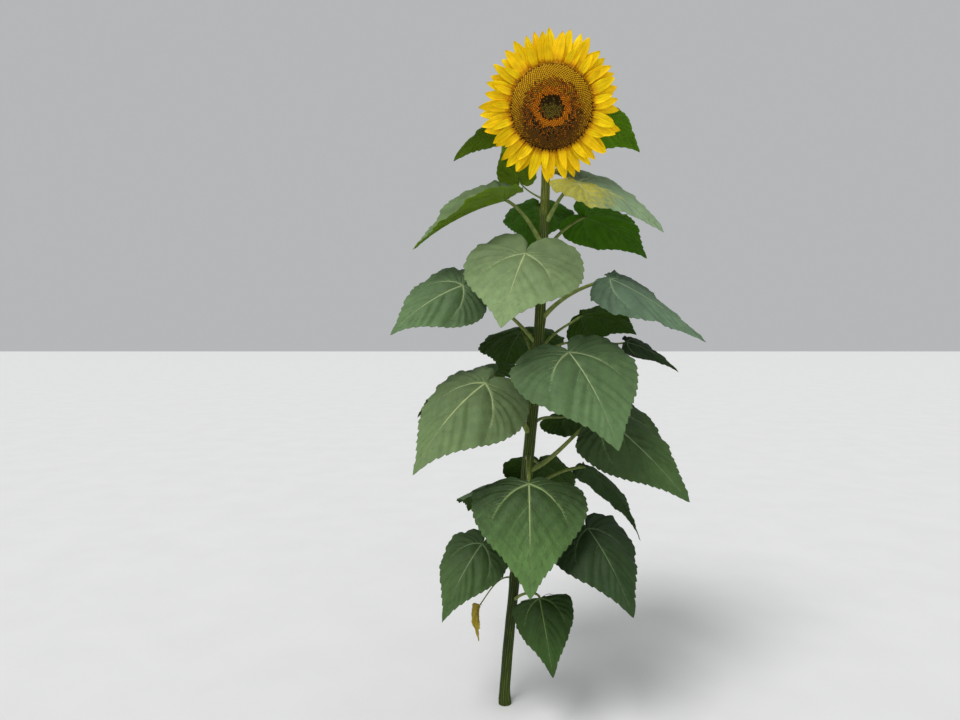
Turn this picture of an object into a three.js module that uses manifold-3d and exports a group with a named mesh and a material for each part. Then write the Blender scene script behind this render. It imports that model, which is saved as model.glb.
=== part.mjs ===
// A giant single-headed sunflower, rooted in level ground: one ribbed stem, a flower head that looks
// forward and a little down, and leaves that each hang from a long stalk.
// Millimetres, +Z up. The origin is the middle of the flat cut under the stem.
// +X is to the right and -Y to the front, where the flower faces.

import * as THREE from 'three';
import { mergeVertices } from 'three/addons/utils/BufferGeometryUtils.js';
import Module from 'manifold-3d';

const wasm = await Module();
wasm.setup();

// Clearance between pieces that touch.
const GAP = 0.3;

// Share of a tongue or stalk past which a point counts as its end.
const TIP = 0.999;

// Stem: points up its middle, from the flat cut to below the neck, with its radius at each.
const STEM_PATH = [
  { at: [0, 0, 0], radius: 24 },
  { at: [0, 0, 60], radius: 20 },
  { at: [15, 2, 250], radius: 18.7 },
  { at: [33, 4, 430], radius: 18.8 },
  { at: [62, 3, 680], radius: 19.6 },
  { at: [84, 0, 920], radius: 20.5 },
  { at: [104, -2, 1140], radius: 20.4 },
  { at: [120, 0, 1370], radius: 19.8 },
  { at: [130, 4, 1580], radius: 18 },
  { at: [138, 10, 1770], radius: 16.3 },
  { at: [142, 20, 1930], radius: 15.2 },
  { at: [146, 20, 2040], radius: 15 },
];
const NECK_BEND = { at: [149, -14, 2112], radius: 16 };
const NECK_RUN = 24;
const NECK_RUN_RADIUS = 17.5;
const NECK_RADIUS = 19;
const NECK_POINTS = 3;
const STEM_SIDES = 10;
const STEM_STEPS = 24;

// Flower head: its middle, the way it faces, and the sizes of its rings.
const HEAD_AT = [145, -140, 2077];
const HEAD_YAW = -4;
const HEAD_NOD = 17;
const DISC_RADIUS = 134;
const DISC_LIP = 10;
const DISC_EDGE = 2;
const DISC_CROWN = 17;
const DISC_FLATNESS = 4;
const DISC_DIMPLE = 7;
const DISC_DIMPLE_SPREAD = 0.26;
const DISC_BACK = -14;
const DISC_SIDES = 24;
const DISC_STEPS = 6;
const COLLAR_RADIUS = 141;
const COLLAR_HEIGHT = 6;
const CUP_BACK = -74;

// The cup's side from the stem outwards: how far out and how far in front of its back.
const CUP_SIDE = [[24, 9], [52, 19], [90, 30], [122, 43], [139, 53]];

// Ray petals: two rows round the disc.
const RAY_ROWS = [
  { count: 23, start: 4, root: 135, length: 97, width: 41, height: -8.5, tilt: 9, bend: -16 },
  { count: 23, start: 11.8, root: 135, length: 99, width: 41, height: -11.5, tilt: 2, bend: -9 },
];
const RAY_THICKNESS = 2.6;
const RAY_SHAPE = { root: 0.62, flare: 1.75, point: 0.7 };
const RAY_WOBBLE = {
  turn: 3, length: 0.13, width: 0.14, height: 0.8, tilt: 7, bend: 16, sweep: 14, twist: 22,
};

// Green bracts behind the petals: two rows of pointed scales fused to the cup.
const BRACT_ROWS = [
  { count: 13, start: 0, root: 130, length: 68, width: 36, height: -25, tilt: -4, bend: -10 },
  { count: 13, start: 14, root: 100, length: 72, width: 36, height: -38, tilt: -14, bend: -4 },
];
const BRACT_THICKNESS = 3;
const BRACT_SHAPE = { root: 0.9, flare: 0.9, point: 0.9 };
const BRACT_WOBBLE = {
  turn: 2, length: 0.12, width: 0, height: 0, tilt: 4, bend: 10, sweep: 8, twist: 0,
};

// Leaf outline: how far the margin lies from the stalk, by the angle off the midrib, as a share of
// the blade's length.
const OUTLINE = [
  [0, 1], [6, 0.86], [16, 0.735], [34, 0.635], [58, 0.575], [84, 0.52],
  [110, 0.475], [135, 0.41], [155, 0.3], [168, 0.17], [180, 0.045],
];
const OUTLINE_WIDTH = 1.02;
const BLADE_RINGS = [0.4, 0.75, 1];
const BLADE_SPOKES = 18;
const BLADE_THICKNESS = 0.0125;

// Stalk of a leaf of STALK_LEAF length: its radius, what flares it at the stem and what it loses
// towards the blade, how deep it starts in the stem, the shares of its span that shape its curve, and
// the angle at which it comes up under the blade.
const STALK_LEAF = 370;
const STALK_RADIUS = 6.6;
const STALK_FLARE = 3.6;
const STALK_TAPER = 0.5;
const STALK_DEPTH = 0.45;
const STALK_LEAVES = 0.42;
const STALK_ARRIVES = 0.3;
const STALK_ANGLE = 40;
const STALK_SIDES = 6;
const STALK_STEPS = 6;

// Leaves from the ground up. height is where the stalk leaves the stem, and turn its way round
// (0 right, 90 back, -90 front). reach and lift take it to the blade, and rise is its first climb.
// heading, pitch and droop run the midrib, sway turns it aside, roll tips the blade, and fold and curl
// bend its left and right halves. length runs from stalk to tip, width is across the blade, and lobes
// scales the part of it behind the stalk.
const LEAVES = [
  { height: 378, turn: -61, reach: 173, lift: 62, rise: 45, heading: -80, pitch: -45, droop: -72, roll: 20,
    length: 252, width: 215, fold: [-10, -10], curl: [-15, -15], lobes: 0.1, sway: 5 },
  { height: 458, turn: -166, reach: 131, lift: -88, rise: 20, heading: -125, pitch: -75, droop: -95, roll: 20,
    length: 130, width: 55, fold: [30, 30], curl: [10, 10], lobes: 0.1, sway: 0 },
  { height: 479, turn: -134, reach: 175, lift: 140, rise: 50, heading: -127, pitch: -30, droop: -65, roll: -10,
    length: 295, width: 235, fold: [-28, 0], curl: [-15, -15], lobes: 0.6, sway: -5 },
  { height: 523, turn: -36, reach: 280, lift: 160, rise: 45, heading: -62, pitch: -30, droop: -66, roll: 10,
    length: 320, width: 310, fold: [-10, -10], curl: [-15, -15], lobes: 0.7, sway: 5 },
  { height: 640, turn: 115, reach: 210, lift: 110, rise: 45, heading: 112, pitch: -10, droop: -55, roll: 0,
    length: 300, width: 290, fold: [-10, -10], curl: [-15, -15], lobes: 1, sway: 4 },
  { height: 745, turn: 22, reach: 250, lift: 97, rise: 50, heading: 5, pitch: -35, droop: -70, roll: -25,
    length: 360, width: 165, fold: [-10, -10], curl: [-15, -15], lobes: 0.25, sway: 0 },
  { height: 847, turn: -13, reach: 275, lift: 194, rise: 25, heading: -26, pitch: -36, droop: -52, roll: 30,
    length: 392, width: 310, fold: [4, -30], curl: [-15, -15], lobes: 0.35, sway: 5 },
  { height: 850, turn: 72, reach: 190, lift: -8, rise: 45, heading: 75, pitch: -35, droop: -65, roll: 0,
    length: 300, width: 290, fold: [-10, -10], curl: [-15, -15], lobes: 1, sway: -4 },
  { height: 887, turn: -93, reach: 221, lift: -42, rise: 35, heading: -92, pitch: -42, droop: -92, roll: 0,
    length: 375, width: 380, fold: [-8, -8], curl: [-12, -12], lobes: 0.3, sway: 0 },
  { height: 980, turn: -136, reach: 225, lift: 189, rise: 55, heading: -143, pitch: -28, droop: -60, roll: -20,
    length: 400, width: 385, fold: [-22, -10], curl: [-15, -15], lobes: 0.75, sway: 0 },
  { height: 1012, turn: 38, reach: 175, lift: 20, rise: 35, heading: 42, pitch: -15, droop: -50, roll: -20,
    length: 260, width: 240, fold: [-10, -10], curl: [-15, -15], lobes: 1, sway: 5 },
  { height: 1075, turn: 150, reach: 210, lift: 130, rise: 45, heading: 150, pitch: -15, droop: -55, roll: 0,
    length: 350, width: 340, fold: [-10, -10], curl: [-15, -15], lobes: 1, sway: 4 },
  { height: 1150, turn: -66, reach: 230, lift: 123, rise: 45, heading: -54, pitch: -40, droop: -65, roll: -6,
    length: 370, width: 440, fold: [16, -20], curl: [-5, -28], lobes: 0.6, sway: 0 },
  { height: 1215, turn: 100, reach: 220, lift: 130, rise: 45, heading: 100, pitch: -12, droop: -55, roll: 0,
    length: 350, width: 340, fold: [-10, -10], curl: [-15, -15], lobes: 1, sway: 4 },
  { height: 1240, turn: 16, reach: 350, lift: 60, rise: 50, heading: -2, pitch: -15, droop: -45, roll: 45,
    length: 222, width: 96, fold: [-10, -10], curl: [-15, -15], lobes: 0.25, sway: 0 },
  { height: 1274, turn: 33, reach: 205, lift: 126, rise: 50, heading: 22, pitch: -5, droop: -26, roll: -30,
    length: 265, width: 260, fold: [-10, -10], curl: [-15, -15], lobes: 0.4, sway: 5 },
  { height: 1300, turn: -166, reach: 273, lift: 198, rise: 50, heading: -158, pitch: -20, droop: -48, roll: -45,
    length: 310, width: 280, fold: [-10, -10], curl: [-15, -15], lobes: 0.6, sway: 0 },
  { height: 1387, turn: -16, reach: 245, lift: 134, rise: 50, heading: -18, pitch: -26, droop: -44, roll: 8,
    length: 385, width: 310, fold: [3, -22], curl: [0, -12], lobes: 0.3, sway: 5 },
  { height: 1450, turn: 120, reach: 190, lift: 140, rise: 50, heading: 112, pitch: -12, droop: -50, roll: 0,
    length: 330, width: 310, fold: [-10, -10], curl: [-15, -15], lobes: 1, sway: 4 },
  { height: 1584, turn: -111, reach: 204, lift: 10, rise: 35, heading: -116, pitch: -42, droop: -62, roll: -8,
    length: 310, width: 405, fold: [-12, -2], curl: [-12, -12], lobes: 1.3, sway: 0 },
  { height: 1619, turn: 36, reach: 203, lift: 142, rise: 50, heading: 20, pitch: -14, droop: -41, roll: -15,
    length: 320, width: 260, fold: [-14, 2], curl: [-15, -8], lobes: 0.75, sway: 5 },
  { height: 1650, turn: -164, reach: 140, lift: 144, rise: 60, heading: -175, pitch: -15, droop: -41, roll: -10,
    length: 370, width: 280, fold: [20, 26], curl: [0, 5], lobes: 0.5, sway: 0 },
  { height: 1690, turn: 92, reach: 160, lift: 120, rise: 50, heading: 92, pitch: -10, droop: -45, roll: 0,
    length: 300, width: 270, fold: [-10, -10], curl: [-15, -15], lobes: 1, sway: 4 },
  { height: 1720, turn: -32, reach: 127, lift: 130, rise: 60, heading: -8, pitch: -15, droop: -50, roll: 30,
    length: 342, width: 280, fold: [3, 0], curl: [-8, -8], lobes: 0.92, sway: 0 },
  { height: 1805, turn: 129, reach: 138, lift: 92, rise: 25, heading: 172, pitch: 72, droop: 62, roll: 86,
    length: 158, width: 148, fold: [-10, -10], curl: [-15, -15], lobes: 0.8, sway: 0 },
  { height: 1903, turn: 8, reach: 155, lift: 177, rise: 60, heading: 14, pitch: -5, droop: -45, roll: -30,
    length: 225, width: 205, fold: [-10, 0], curl: [-15, -15], lobes: 1, sway: 0 },
  { height: 1960, turn: 172, reach: 118, lift: 142, rise: 60, heading: 178, pitch: -25, droop: -50, roll: 20,
    length: 265, width: 190, fold: [-10, -10], curl: [-15, -15], lobes: 0.6, sway: 0 },
];

// The one that has dried yellow, counted from 0.
const DRY_LEAF = 1;

const radians = THREE.MathUtils.degToRad;

// A repeatable number from -1 to 1 for each pair of whole numbers.
function wobble(index, salt) {
  const wave = Math.sin(index * 12.9898 + salt * 78.233) * 43758.5453;
  return 2 * (wave - Math.floor(wave)) - 1;
}

// Walks an arc whose slope turns evenly from the first angle to the last over its length, and gives
// how far along and how high the walk has come after a distance.
function arc(distance, first, last, length) {
  const turn = (last - first) / length;
  if (Math.abs(turn) < 1e-9) {
    return { along: distance * Math.cos(first), up: distance * Math.sin(first), slope: first };
  }
  const slope = first + turn * distance;
  return {
    along: (Math.sin(slope) - Math.sin(first)) / turn,
    up: (Math.cos(first) - Math.cos(slope)) / turn,
    slope,
  };
}

// Joins the vertices that lie on each other and drops the faces that this flattens to a line, so that
// the rest close up into one body.
function weld(geometry) {
  const bare = geometry.clone();
  bare.deleteAttribute('normal');
  bare.deleteAttribute('uv');
  const merged = mergeVertices(bare, 1e-4);
  const corners = merged.getIndex().array;
  const kept = [];
  for (let i = 0; i < corners.length; i += 3) {
    const [a, b, c] = corners.slice(i, i + 3);
    if (a !== b && b !== c && c !== a) {
      kept.push(a, b, c);
    }
  }
  merged.setIndex(kept);
  return merged;
}

// Moves each vertex of a closed geometry to where the function puts it.
function warp(geometry, place) {
  const position = geometry.getAttribute('position');
  for (let i = 0; i < position.count; i += 1) {
    const spot = place(position.getX(i), position.getY(i), position.getZ(i));
    position.setXYZ(i, spot.x, spot.y, spot.z);
  }
  return weld(geometry);
}

function toSolid(geometry) {
  const closed = weld(geometry);
  return new wasm.Manifold(new wasm.Mesh({
    numProp: 3,
    vertProperties: Float32Array.from(closed.getAttribute('position').array),
    triVerts: Uint32Array.from(closed.getIndex().array),
  }));
}

function toGeometry(solid) {
  const mesh = solid.getMesh();
  const geometry = new THREE.BufferGeometry();
  geometry.setAttribute('position', new THREE.BufferAttribute(mesh.vertProperties, mesh.numProp));
  geometry.setIndex(new THREE.BufferAttribute(mesh.triVerts, 1));
  return geometry;
}

function colour(hex, roughness) {
  return new THREE.MeshStandardMaterial({ color: hex, roughness, metalness: 0 });
}

const PAINT = {
  stem: colour(0x7f9140, 0.7),
  cup: colour(0x55803a, 0.7),
  disc: colour(0x5a4212, 0.9),
  petal: colour(0xf2b80c, 0.6),
  blade: colour(0x5f7f4c, 0.65),
  dry: colour(0xc9a53a, 0.8),
};

function named(name, geometry, material) {
  geometry.computeVertexNormals();
  const mesh = new THREE.Mesh(geometry, material);
  mesh.name = name;
  return mesh;
}

// The way the flower faces, and a point on its axis that far in front of its middle.
const FACING = new THREE.Vector3(
  Math.sin(radians(HEAD_YAW)) * Math.cos(radians(HEAD_NOD)),
  -Math.cos(radians(HEAD_YAW)) * Math.cos(radians(HEAD_NOD)),
  -Math.sin(radians(HEAD_NOD)),
);

function onAxis(distance) {
  return new THREE.Vector3(...HEAD_AT).addScaledVector(FACING, distance);
}

// Stem: up through its points, over the neck and square on to the back of the cup.
const NECK_END = CUP_BACK - GAP;
const stemStations = [
  ...STEM_PATH,
  NECK_BEND,
  { at: onAxis(NECK_END - NECK_RUN).toArray(), radius: NECK_RUN_RADIUS },
  { at: onAxis(NECK_END).toArray(), radius: NECK_RADIUS },
];
const stemCurve = new THREE.CatmullRomCurve3(
  stemStations.map((station) => new THREE.Vector3(...station.at)), false, 'catmullrom', 0.5,
);

function stemRadius(share) {
  const place = share * (stemStations.length - 1);
  const low = Math.min(Math.floor(place), stemStations.length - 2);
  const above = stemStations[low + 1].radius;
  const below = stemStations[low].radius;
  return below + (above - below) * (place - low);
}

function makeStem(grow) {
  const across = new THREE.Vector3(1, 0, 0);
  const tube = new THREE.CylinderGeometry(1, 1, 1, STEM_SIDES, STEM_STEPS);
  return warp(tube, (x, y, z) => {
    const share = y + 0.5;
    const along = stemCurve.getTangent(share);
    const side = across.clone().addScaledVector(along, -across.dot(along)).normalize();
    const other = new THREE.Vector3().crossVectors(side, along);
    const radius = stemRadius(share) + grow;
    return stemCurve.getPoint(share)
      .addScaledVector(side, x * radius)
      .addScaledVector(other, z * radius);
  });
}

// The point on the stem's middle at a height below the neck, and the radius there.
function stemMiddle(height) {
  let low = 0;
  let high = 1 - NECK_POINTS / (stemStations.length - 1);
  for (let i = 0; i < 40; i += 1) {
    const middle = (low + high) / 2;
    if (stemCurve.getPoint(middle).z < height) {
      low = middle;
    } else {
      high = middle;
    }
  }
  return { point: stemCurve.getPoint(low), radius: stemRadius(low) };
}

// Disc: flat behind, domed in front, with a dimple in the middle.
function discFront(radius) {
  const share = radius / DISC_RADIUS;
  const dome = DISC_CROWN * (1 - share ** DISC_FLATNESS);
  return DISC_EDGE + dome - DISC_DIMPLE * Math.exp(-((share / DISC_DIMPLE_SPREAD) ** 2));
}

// Its edge overhangs the roots of the petals.
function makeDisc() {
  const profile = [
    new THREE.Vector2(0, DISC_BACK),
    new THREE.Vector2(DISC_RADIUS - DISC_LIP, DISC_BACK),
    new THREE.Vector2(DISC_RADIUS - DISC_LIP, DISC_BACK + COLLAR_HEIGHT + 2 * GAP),
  ];
  for (let i = DISC_STEPS; i >= 0; i -= 1) {
    const radius = (DISC_RADIUS * i) / DISC_STEPS;
    profile.push(new THREE.Vector2(radius, discFront(radius)));
  }
  return weld(new THREE.LatheGeometry(profile, DISC_SIDES).rotateX(Math.PI / 2));
}

// One pointed petal or bract, as a four-sided cone laid along its own bent midline.
function makeTongue(tongue, thickness, shape) {
  const cone = new THREE.ConeGeometry(1, 1, 4, 4);
  const outward = new THREE.Vector3(Math.cos(tongue.angle), Math.sin(tongue.angle), 0);
  const sideways = new THREE.Vector3(-Math.sin(tongue.angle), Math.cos(tongue.angle), 0);
  const first = radians(tongue.tilt);
  const last = radians(tongue.tilt + tongue.bend);
  return warp(cone, (x, y, z) => {
    const share = y + 0.5;
    const spread = Math.max(Math.hypot(x, z), 1e-6);
    const walk = arc(share * tongue.length, first, last, tongue.length);
    const wide = (shape.root + shape.flare * share) * Math.max(1 - share, 0) ** shape.point;
    const flat = share > TIP ? 0 : (x / spread) * (tongue.width / 2) * wide;
    const thick = share > TIP ? 0 : (z / spread) * (thickness / 2) * (1 - 0.5 * share);
    const lean = radians(tongue.twist) * share;
    const across = tongue.sweep * share * share - flat * Math.cos(lean) - thick * Math.sin(lean);
    const up = tongue.height + walk.up + thick * Math.cos(lean) - flat * Math.sin(lean);
    return new THREE.Vector3(0, 0, up)
      .addScaledVector(outward, tongue.root + walk.along)
      .addScaledVector(sideways, across);
  });
}

// One row of them, each a little different from the next.
function makeRow(row, uneven, thickness, shape, salt) {
  return Array.from({ length: row.count }, (_, i) => toSolid(makeTongue({
    angle: radians(row.start + (360 * i) / row.count + uneven.turn * wobble(i, salt + 1)),
    root: row.root,
    length: row.length * (1 + uneven.length * wobble(i, salt + 2)),
    width: row.width * (1 + uneven.width * wobble(i, salt + 3)),
    tilt: row.tilt + uneven.tilt * wobble(i, salt + 4),
    bend: row.bend + uneven.bend * wobble(i, salt + 5),
    sweep: uneven.sweep * wobble(i, salt + 6),
    height: row.height + uneven.height * wobble(i, salt + 7),
    twist: uneven.twist * wobble(i, salt + 8),
  }, thickness, shape)));
}

function makeRays() {
  const inner = DISC_RADIUS - DISC_LIP + GAP;
  const band = [
    new THREE.Vector2(inner, DISC_BACK),
    new THREE.Vector2(COLLAR_RADIUS, DISC_BACK),
    new THREE.Vector2(COLLAR_RADIUS, DISC_BACK + COLLAR_HEIGHT),
    new THREE.Vector2(inner, DISC_BACK + COLLAR_HEIGHT),
    new THREE.Vector2(inner, DISC_BACK),
  ];
  let rays = toSolid(new THREE.LatheGeometry(band, DISC_SIDES).rotateX(Math.PI / 2));
  RAY_ROWS.forEach((row, level) => {
    makeRow(row, RAY_WOBBLE, RAY_THICKNESS, RAY_SHAPE, level * 100).forEach((petal) => {
      rays = rays.add(petal);
    });
  });
  return toGeometry(rays);
}

// Cup: the green back of the head, with its bracts.
function makeCup() {
  const seat = DISC_BACK - GAP;
  const profile = [
    new THREE.Vector2(0, CUP_BACK),
    new THREE.Vector2(NECK_RADIUS, CUP_BACK),
    ...CUP_SIDE.map(([out, forward]) => new THREE.Vector2(out, CUP_BACK + forward)),
    new THREE.Vector2(COLLAR_RADIUS, seat),
    new THREE.Vector2(0, seat),
  ];
  let cup = toSolid(new THREE.LatheGeometry(profile, DISC_SIDES).rotateX(Math.PI / 2));
  BRACT_ROWS.forEach((row, level) => {
    makeRow(row, BRACT_WOBBLE, BRACT_THICKNESS, BRACT_SHAPE, 300 + level * 100).forEach((bract) => {
      cup = cup.add(bract);
    });
  });
  return toGeometry(cup);
}

// Distance of the margin from the stalk, as a share of the length, at an angle off the midrib.
function margin(angle) {
  const turned = Math.abs(THREE.MathUtils.radToDeg(angle));
  for (let i = 1; i < OUTLINE.length; i += 1) {
    const [start, from] = OUTLINE[i - 1];
    const [end, to] = OUTLINE[i];
    if (turned <= end) {
      return from + ((to - from) * (turned - start)) / (end - start);
    }
  }
  return OUTLINE[OUTLINE.length - 1][1];
}

// A point of the leaf's surface, for a distance along the midrib and one across, to its left.
function bladePoint(leaf, along, across, above) {
  const walk = arc(along, radians(leaf.pitch), radians(leaf.droop), leaf.length);
  const heading = radians(leaf.heading + (leaf.sway * along) / leaf.length);
  const forward = new THREE.Vector3(Math.cos(heading), Math.sin(heading), 0);
  const left = new THREE.Vector3(-Math.sin(heading), Math.cos(heading), 0);
  const up = new THREE.Vector3(0, 0, 1);
  const normal = up.clone().multiplyScalar(Math.cos(walk.slope));
  normal.addScaledVector(forward, -Math.sin(walk.slope));
  const roll = radians(leaf.roll);
  const side = left.clone().multiplyScalar(Math.cos(roll)).addScaledVector(normal, Math.sin(roll));
  const lift = normal.clone().multiplyScalar(Math.cos(roll)).addScaledVector(left, -Math.sin(roll));
  const half = across >= 0 ? 0 : 1;
  const fold = radians(leaf.fold[half]);
  const spread = arc(Math.abs(across), fold, fold + radians(leaf.curl[half]), leaf.width / 2);
  const flat = new THREE.Vector3().copy(leaf.base)
    .addScaledVector(forward, walk.along)
    .addScaledVector(up, walk.up)
    .addScaledVector(side, Math.sign(across) * spread.along)
    .addScaledVector(lift, spread.up);
  const tilt = Math.sign(across) * spread.slope;
  return flat
    .addScaledVector(lift, above * Math.cos(tilt))
    .addScaledVector(side, -above * Math.sin(tilt));
}

// Blade: a lens of rings and spokes round the stalk's end, laid on the leaf's surface.
function makeBlade(leaf, grow) {
  const rings = [new THREE.Vector2(0, -1), ...BLADE_RINGS.map((ring) => new THREE.Vector2(ring, -1)),
    ...BLADE_RINGS.toReversed().map((ring) => new THREE.Vector2(ring, 1)), new THREE.Vector2(0, 1)];
  const thickness = (BLADE_THICKNESS * leaf.length) / 2 + grow;
  const stretch = leaf.width / leaf.length / OUTLINE_WIDTH;
  return warp(new THREE.LatheGeometry(rings, BLADE_SPOKES), (x, y, z) => {
    const angle = Math.atan2(x, z);
    const reach = Math.hypot(x, z) * (margin(angle) * leaf.length + grow);
    const along = reach * Math.cos(angle) * (Math.abs(angle) > Math.PI / 2 ? leaf.lobes : 1);
    const across = reach * Math.sin(angle) * stretch;
    return bladePoint(leaf, along, Math.abs(across) < 1e-6 ? 0 : across, y * thickness);
  });
}

// Stalk: leaves the stem, climbs, and comes up under the blade where its ribs meet.
function stalkCurve(leaf) {
  const node = stemMiddle(leaf.height);
  const turn = radians(leaf.turn);
  const outward = new THREE.Vector3(Math.cos(turn), Math.sin(turn), 0);
  const rise = radians(leaf.rise);
  const leaving = outward.clone().multiplyScalar(Math.cos(rise)).add(new THREE.Vector3(0, 0, Math.sin(rise)));
  const start = node.point.clone().addScaledVector(outward, node.radius * STALK_DEPTH);
  const span = start.distanceTo(leaf.base);
  const arriving = bladePoint(leaf, 1, 0, 0).sub(bladePoint(leaf, 0, 0, 0)).normalize();
  const normal = bladePoint(leaf, 0, 0, 1).sub(bladePoint(leaf, 0, 0, 0)).normalize();
  const angle = radians(STALK_ANGLE);
  arriving.multiplyScalar(Math.cos(angle)).addScaledVector(normal, Math.sin(angle));
  return new THREE.CubicBezierCurve3(
    start,
    start.clone().addScaledVector(leaving, span * STALK_LEAVES),
    leaf.base.clone().addScaledVector(arriving, -span * STALK_ARRIVES),
    leaf.base.clone(),
  );
}

// The last ring is cut off along the blade's underside.
function makeStalk(leaf) {
  const curve = stalkCurve(leaf);
  const size = leaf.length / STALK_LEAF;
  const tube = new THREE.CylinderGeometry(1, 1, 1, STALK_SIDES, STALK_STEPS);
  const level = new THREE.Vector3(0, 0, 1);
  const normal = bladePoint(leaf, 0, 0, 1).sub(leaf.base).normalize();
  const below = (BLADE_THICKNESS * leaf.length) / 2 + GAP;
  return warp(tube, (x, y, z) => {
    const share = y + 0.5;
    const along = curve.getTangent(share);
    const side = new THREE.Vector3().crossVectors(along, level).normalize();
    const other = new THREE.Vector3().crossVectors(side, along);
    const radius = size * (STALK_RADIUS + STALK_FLARE * (1 - share) ** 3 - STALK_TAPER * share);
    const spot = curve.getPoint(share)
      .addScaledVector(side, x * radius)
      .addScaledVector(other, z * radius);
    if (share > TIP) {
      const over = spot.clone().sub(leaf.base).dot(normal) + below;
      spot.addScaledVector(along, -over / along.dot(normal));
    }
    return spot;
  });
}

const plant = new THREE.Group();
plant.add(named('stem', makeStem(0), PAINT.stem));

const head = new THREE.Group();
head.up.set(0, 0, 1);
head.position.set(...HEAD_AT);
head.lookAt(onAxis(100));
head.add(named('head_cup', makeCup(), PAINT.cup));
head.add(named('head_disc', makeDisc(), PAINT.disc));
head.add(named('head_rays', makeRays(), PAINT.petal));
plant.add(head);

const stemRoom = toSolid(makeStem(GAP));
LEAVES.forEach((sizes, index) => {
  const node = stemMiddle(sizes.height);
  const turn = radians(sizes.turn);
  const base = node.point.clone().add(
    new THREE.Vector3(Math.cos(turn) * sizes.reach, Math.sin(turn) * sizes.reach, sizes.lift),
  );
  const leaf = { ...sizes, base };
  const number = String(index + 1).padStart(2, '0');
  const paint = index === DRY_LEAF ? PAINT.dry : PAINT.blade;
  const stalk = toSolid(makeStalk(leaf)).subtract(stemRoom).subtract(toSolid(makeBlade(leaf, GAP)));
  plant.add(named(`leaf_${number}_stalk`, toGeometry(stalk), PAINT.stem));
  plant.add(named(`leaf_${number}_blade`, makeBlade(leaf, 0), paint));
});

export default plant;
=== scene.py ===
"""Looks of the sunflower plant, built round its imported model.

The stem, head and leaves grow by the rules of the part's source, written again here and carried to
finer detail. Tables and shapes are in millimetres, as there, and become metres when a mesh is made.
"""

import math
from math import pi, radians
from types import SimpleNamespace as Record

import bpy
import numpy as np
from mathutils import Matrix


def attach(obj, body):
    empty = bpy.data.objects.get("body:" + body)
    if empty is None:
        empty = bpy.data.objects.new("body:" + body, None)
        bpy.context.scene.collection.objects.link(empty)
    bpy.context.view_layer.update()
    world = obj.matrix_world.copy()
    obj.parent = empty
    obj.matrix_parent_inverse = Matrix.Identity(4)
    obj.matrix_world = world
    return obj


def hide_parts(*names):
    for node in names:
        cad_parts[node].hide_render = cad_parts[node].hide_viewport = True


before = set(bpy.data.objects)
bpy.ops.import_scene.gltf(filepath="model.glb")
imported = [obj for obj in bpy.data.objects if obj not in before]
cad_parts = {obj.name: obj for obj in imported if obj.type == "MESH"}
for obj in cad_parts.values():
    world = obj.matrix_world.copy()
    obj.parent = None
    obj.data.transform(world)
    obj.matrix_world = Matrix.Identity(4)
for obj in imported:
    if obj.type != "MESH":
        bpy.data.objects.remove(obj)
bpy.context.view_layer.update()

MM = 0.001
UP = np.array([0.0, 0.0, 1.0])

# Camera: where the picture was taken from, how far it looks down, and its lens.
CAMERA_AT = (-0.090, -2.542, 1.350)
CAMERA_DOWN = 2.5
CAMERA_LENS = 27.0
CAMERA_SENSOR = 36.0

# Stem: points up its middle and its radius at each.
STEM_PATH = [
    (0, 0, 0, 24), (0, 0, 60, 20), (15, 2, 250, 18.7), (33, 4, 430, 18.8), (62, 3, 680, 19.6),
    (84, 0, 920, 20.5), (104, -2, 1140, 20.4), (120, 0, 1370, 19.8), (130, 4, 1580, 18),
    (138, 10, 1770, 16.3), (142, 20, 1930, 15.2), (146, 20, 2040, 15), (149, -14, 2112, 16),
]
NECK_RUN = 24
NECK_RUN_RADIUS = 17.5
NECK_RADIUS = 19
NECK_POINTS = 3
GAP = 0.3

# Flower head.
HEAD_AT = np.array([145.0, -140.0, 2077.0])
HEAD_YAW = -4
HEAD_NOD = 17
DISC_RADIUS = 134
DISC_EDGE = 2
DISC_CROWN = 17
DISC_FLATNESS = 4
DISC_DIMPLE = 7
DISC_DIMPLE_SPREAD = 0.26
DISC_BACK = -14
COLLAR_RADIUS = 141
COLLAR_HEIGHT = 6
CUP_BACK = -74
CUP_SIDE = [(24, 9), (52, 19), (90, 30), (122, 43), (139, 53)]

RAY_ROWS = [
    Record(count=23, start=4, root=135, length=97, width=41, height=-8.5, tilt=9, bend=-16),
    Record(count=23, start=11.8, root=135, length=99, width=41, height=-11.5, tilt=2, bend=-9),
]
RAY_WOBBLE = dict(turn=3, length=0.13, width=0.14, height=0.8, tilt=7, bend=16, sweep=14, twist=22)
BRACT_ROWS = [
    Record(count=13, start=0, root=130, length=68, width=36, height=-25, tilt=-4, bend=-10),
    Record(count=13, start=14, root=100, length=72, width=36, height=-38, tilt=-14, bend=-4),
]
BRACT_SHAPE = (0.9, 0.9, 0.9)
BRACT_WOBBLE = dict(turn=2, length=0.12, width=0, height=0, tilt=4, bend=10, sweep=8, twist=0)

# Leaf outline: the margin's distance from the stalk by the angle off the midrib, as a share of length.
OUTLINE = np.array([
    (0, 1), (6, 0.86), (16, 0.735), (34, 0.635), (58, 0.575), (84, 0.52),
    (110, 0.475), (135, 0.41), (155, 0.3), (168, 0.17), (180, 0.045),
])
OUTLINE_WIDTH = 1.02

# Stalk of a leaf of STALK_LEAF length.
STALK_LEAF = 370
STALK_RADIUS = 6.6
STALK_FLARE = 3.6
STALK_TAPER = 0.5
STALK_DEPTH = 0.45
STALK_LEAVES = 0.42
STALK_ARRIVES = 0.3
STALK_ANGLE = 40

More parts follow.
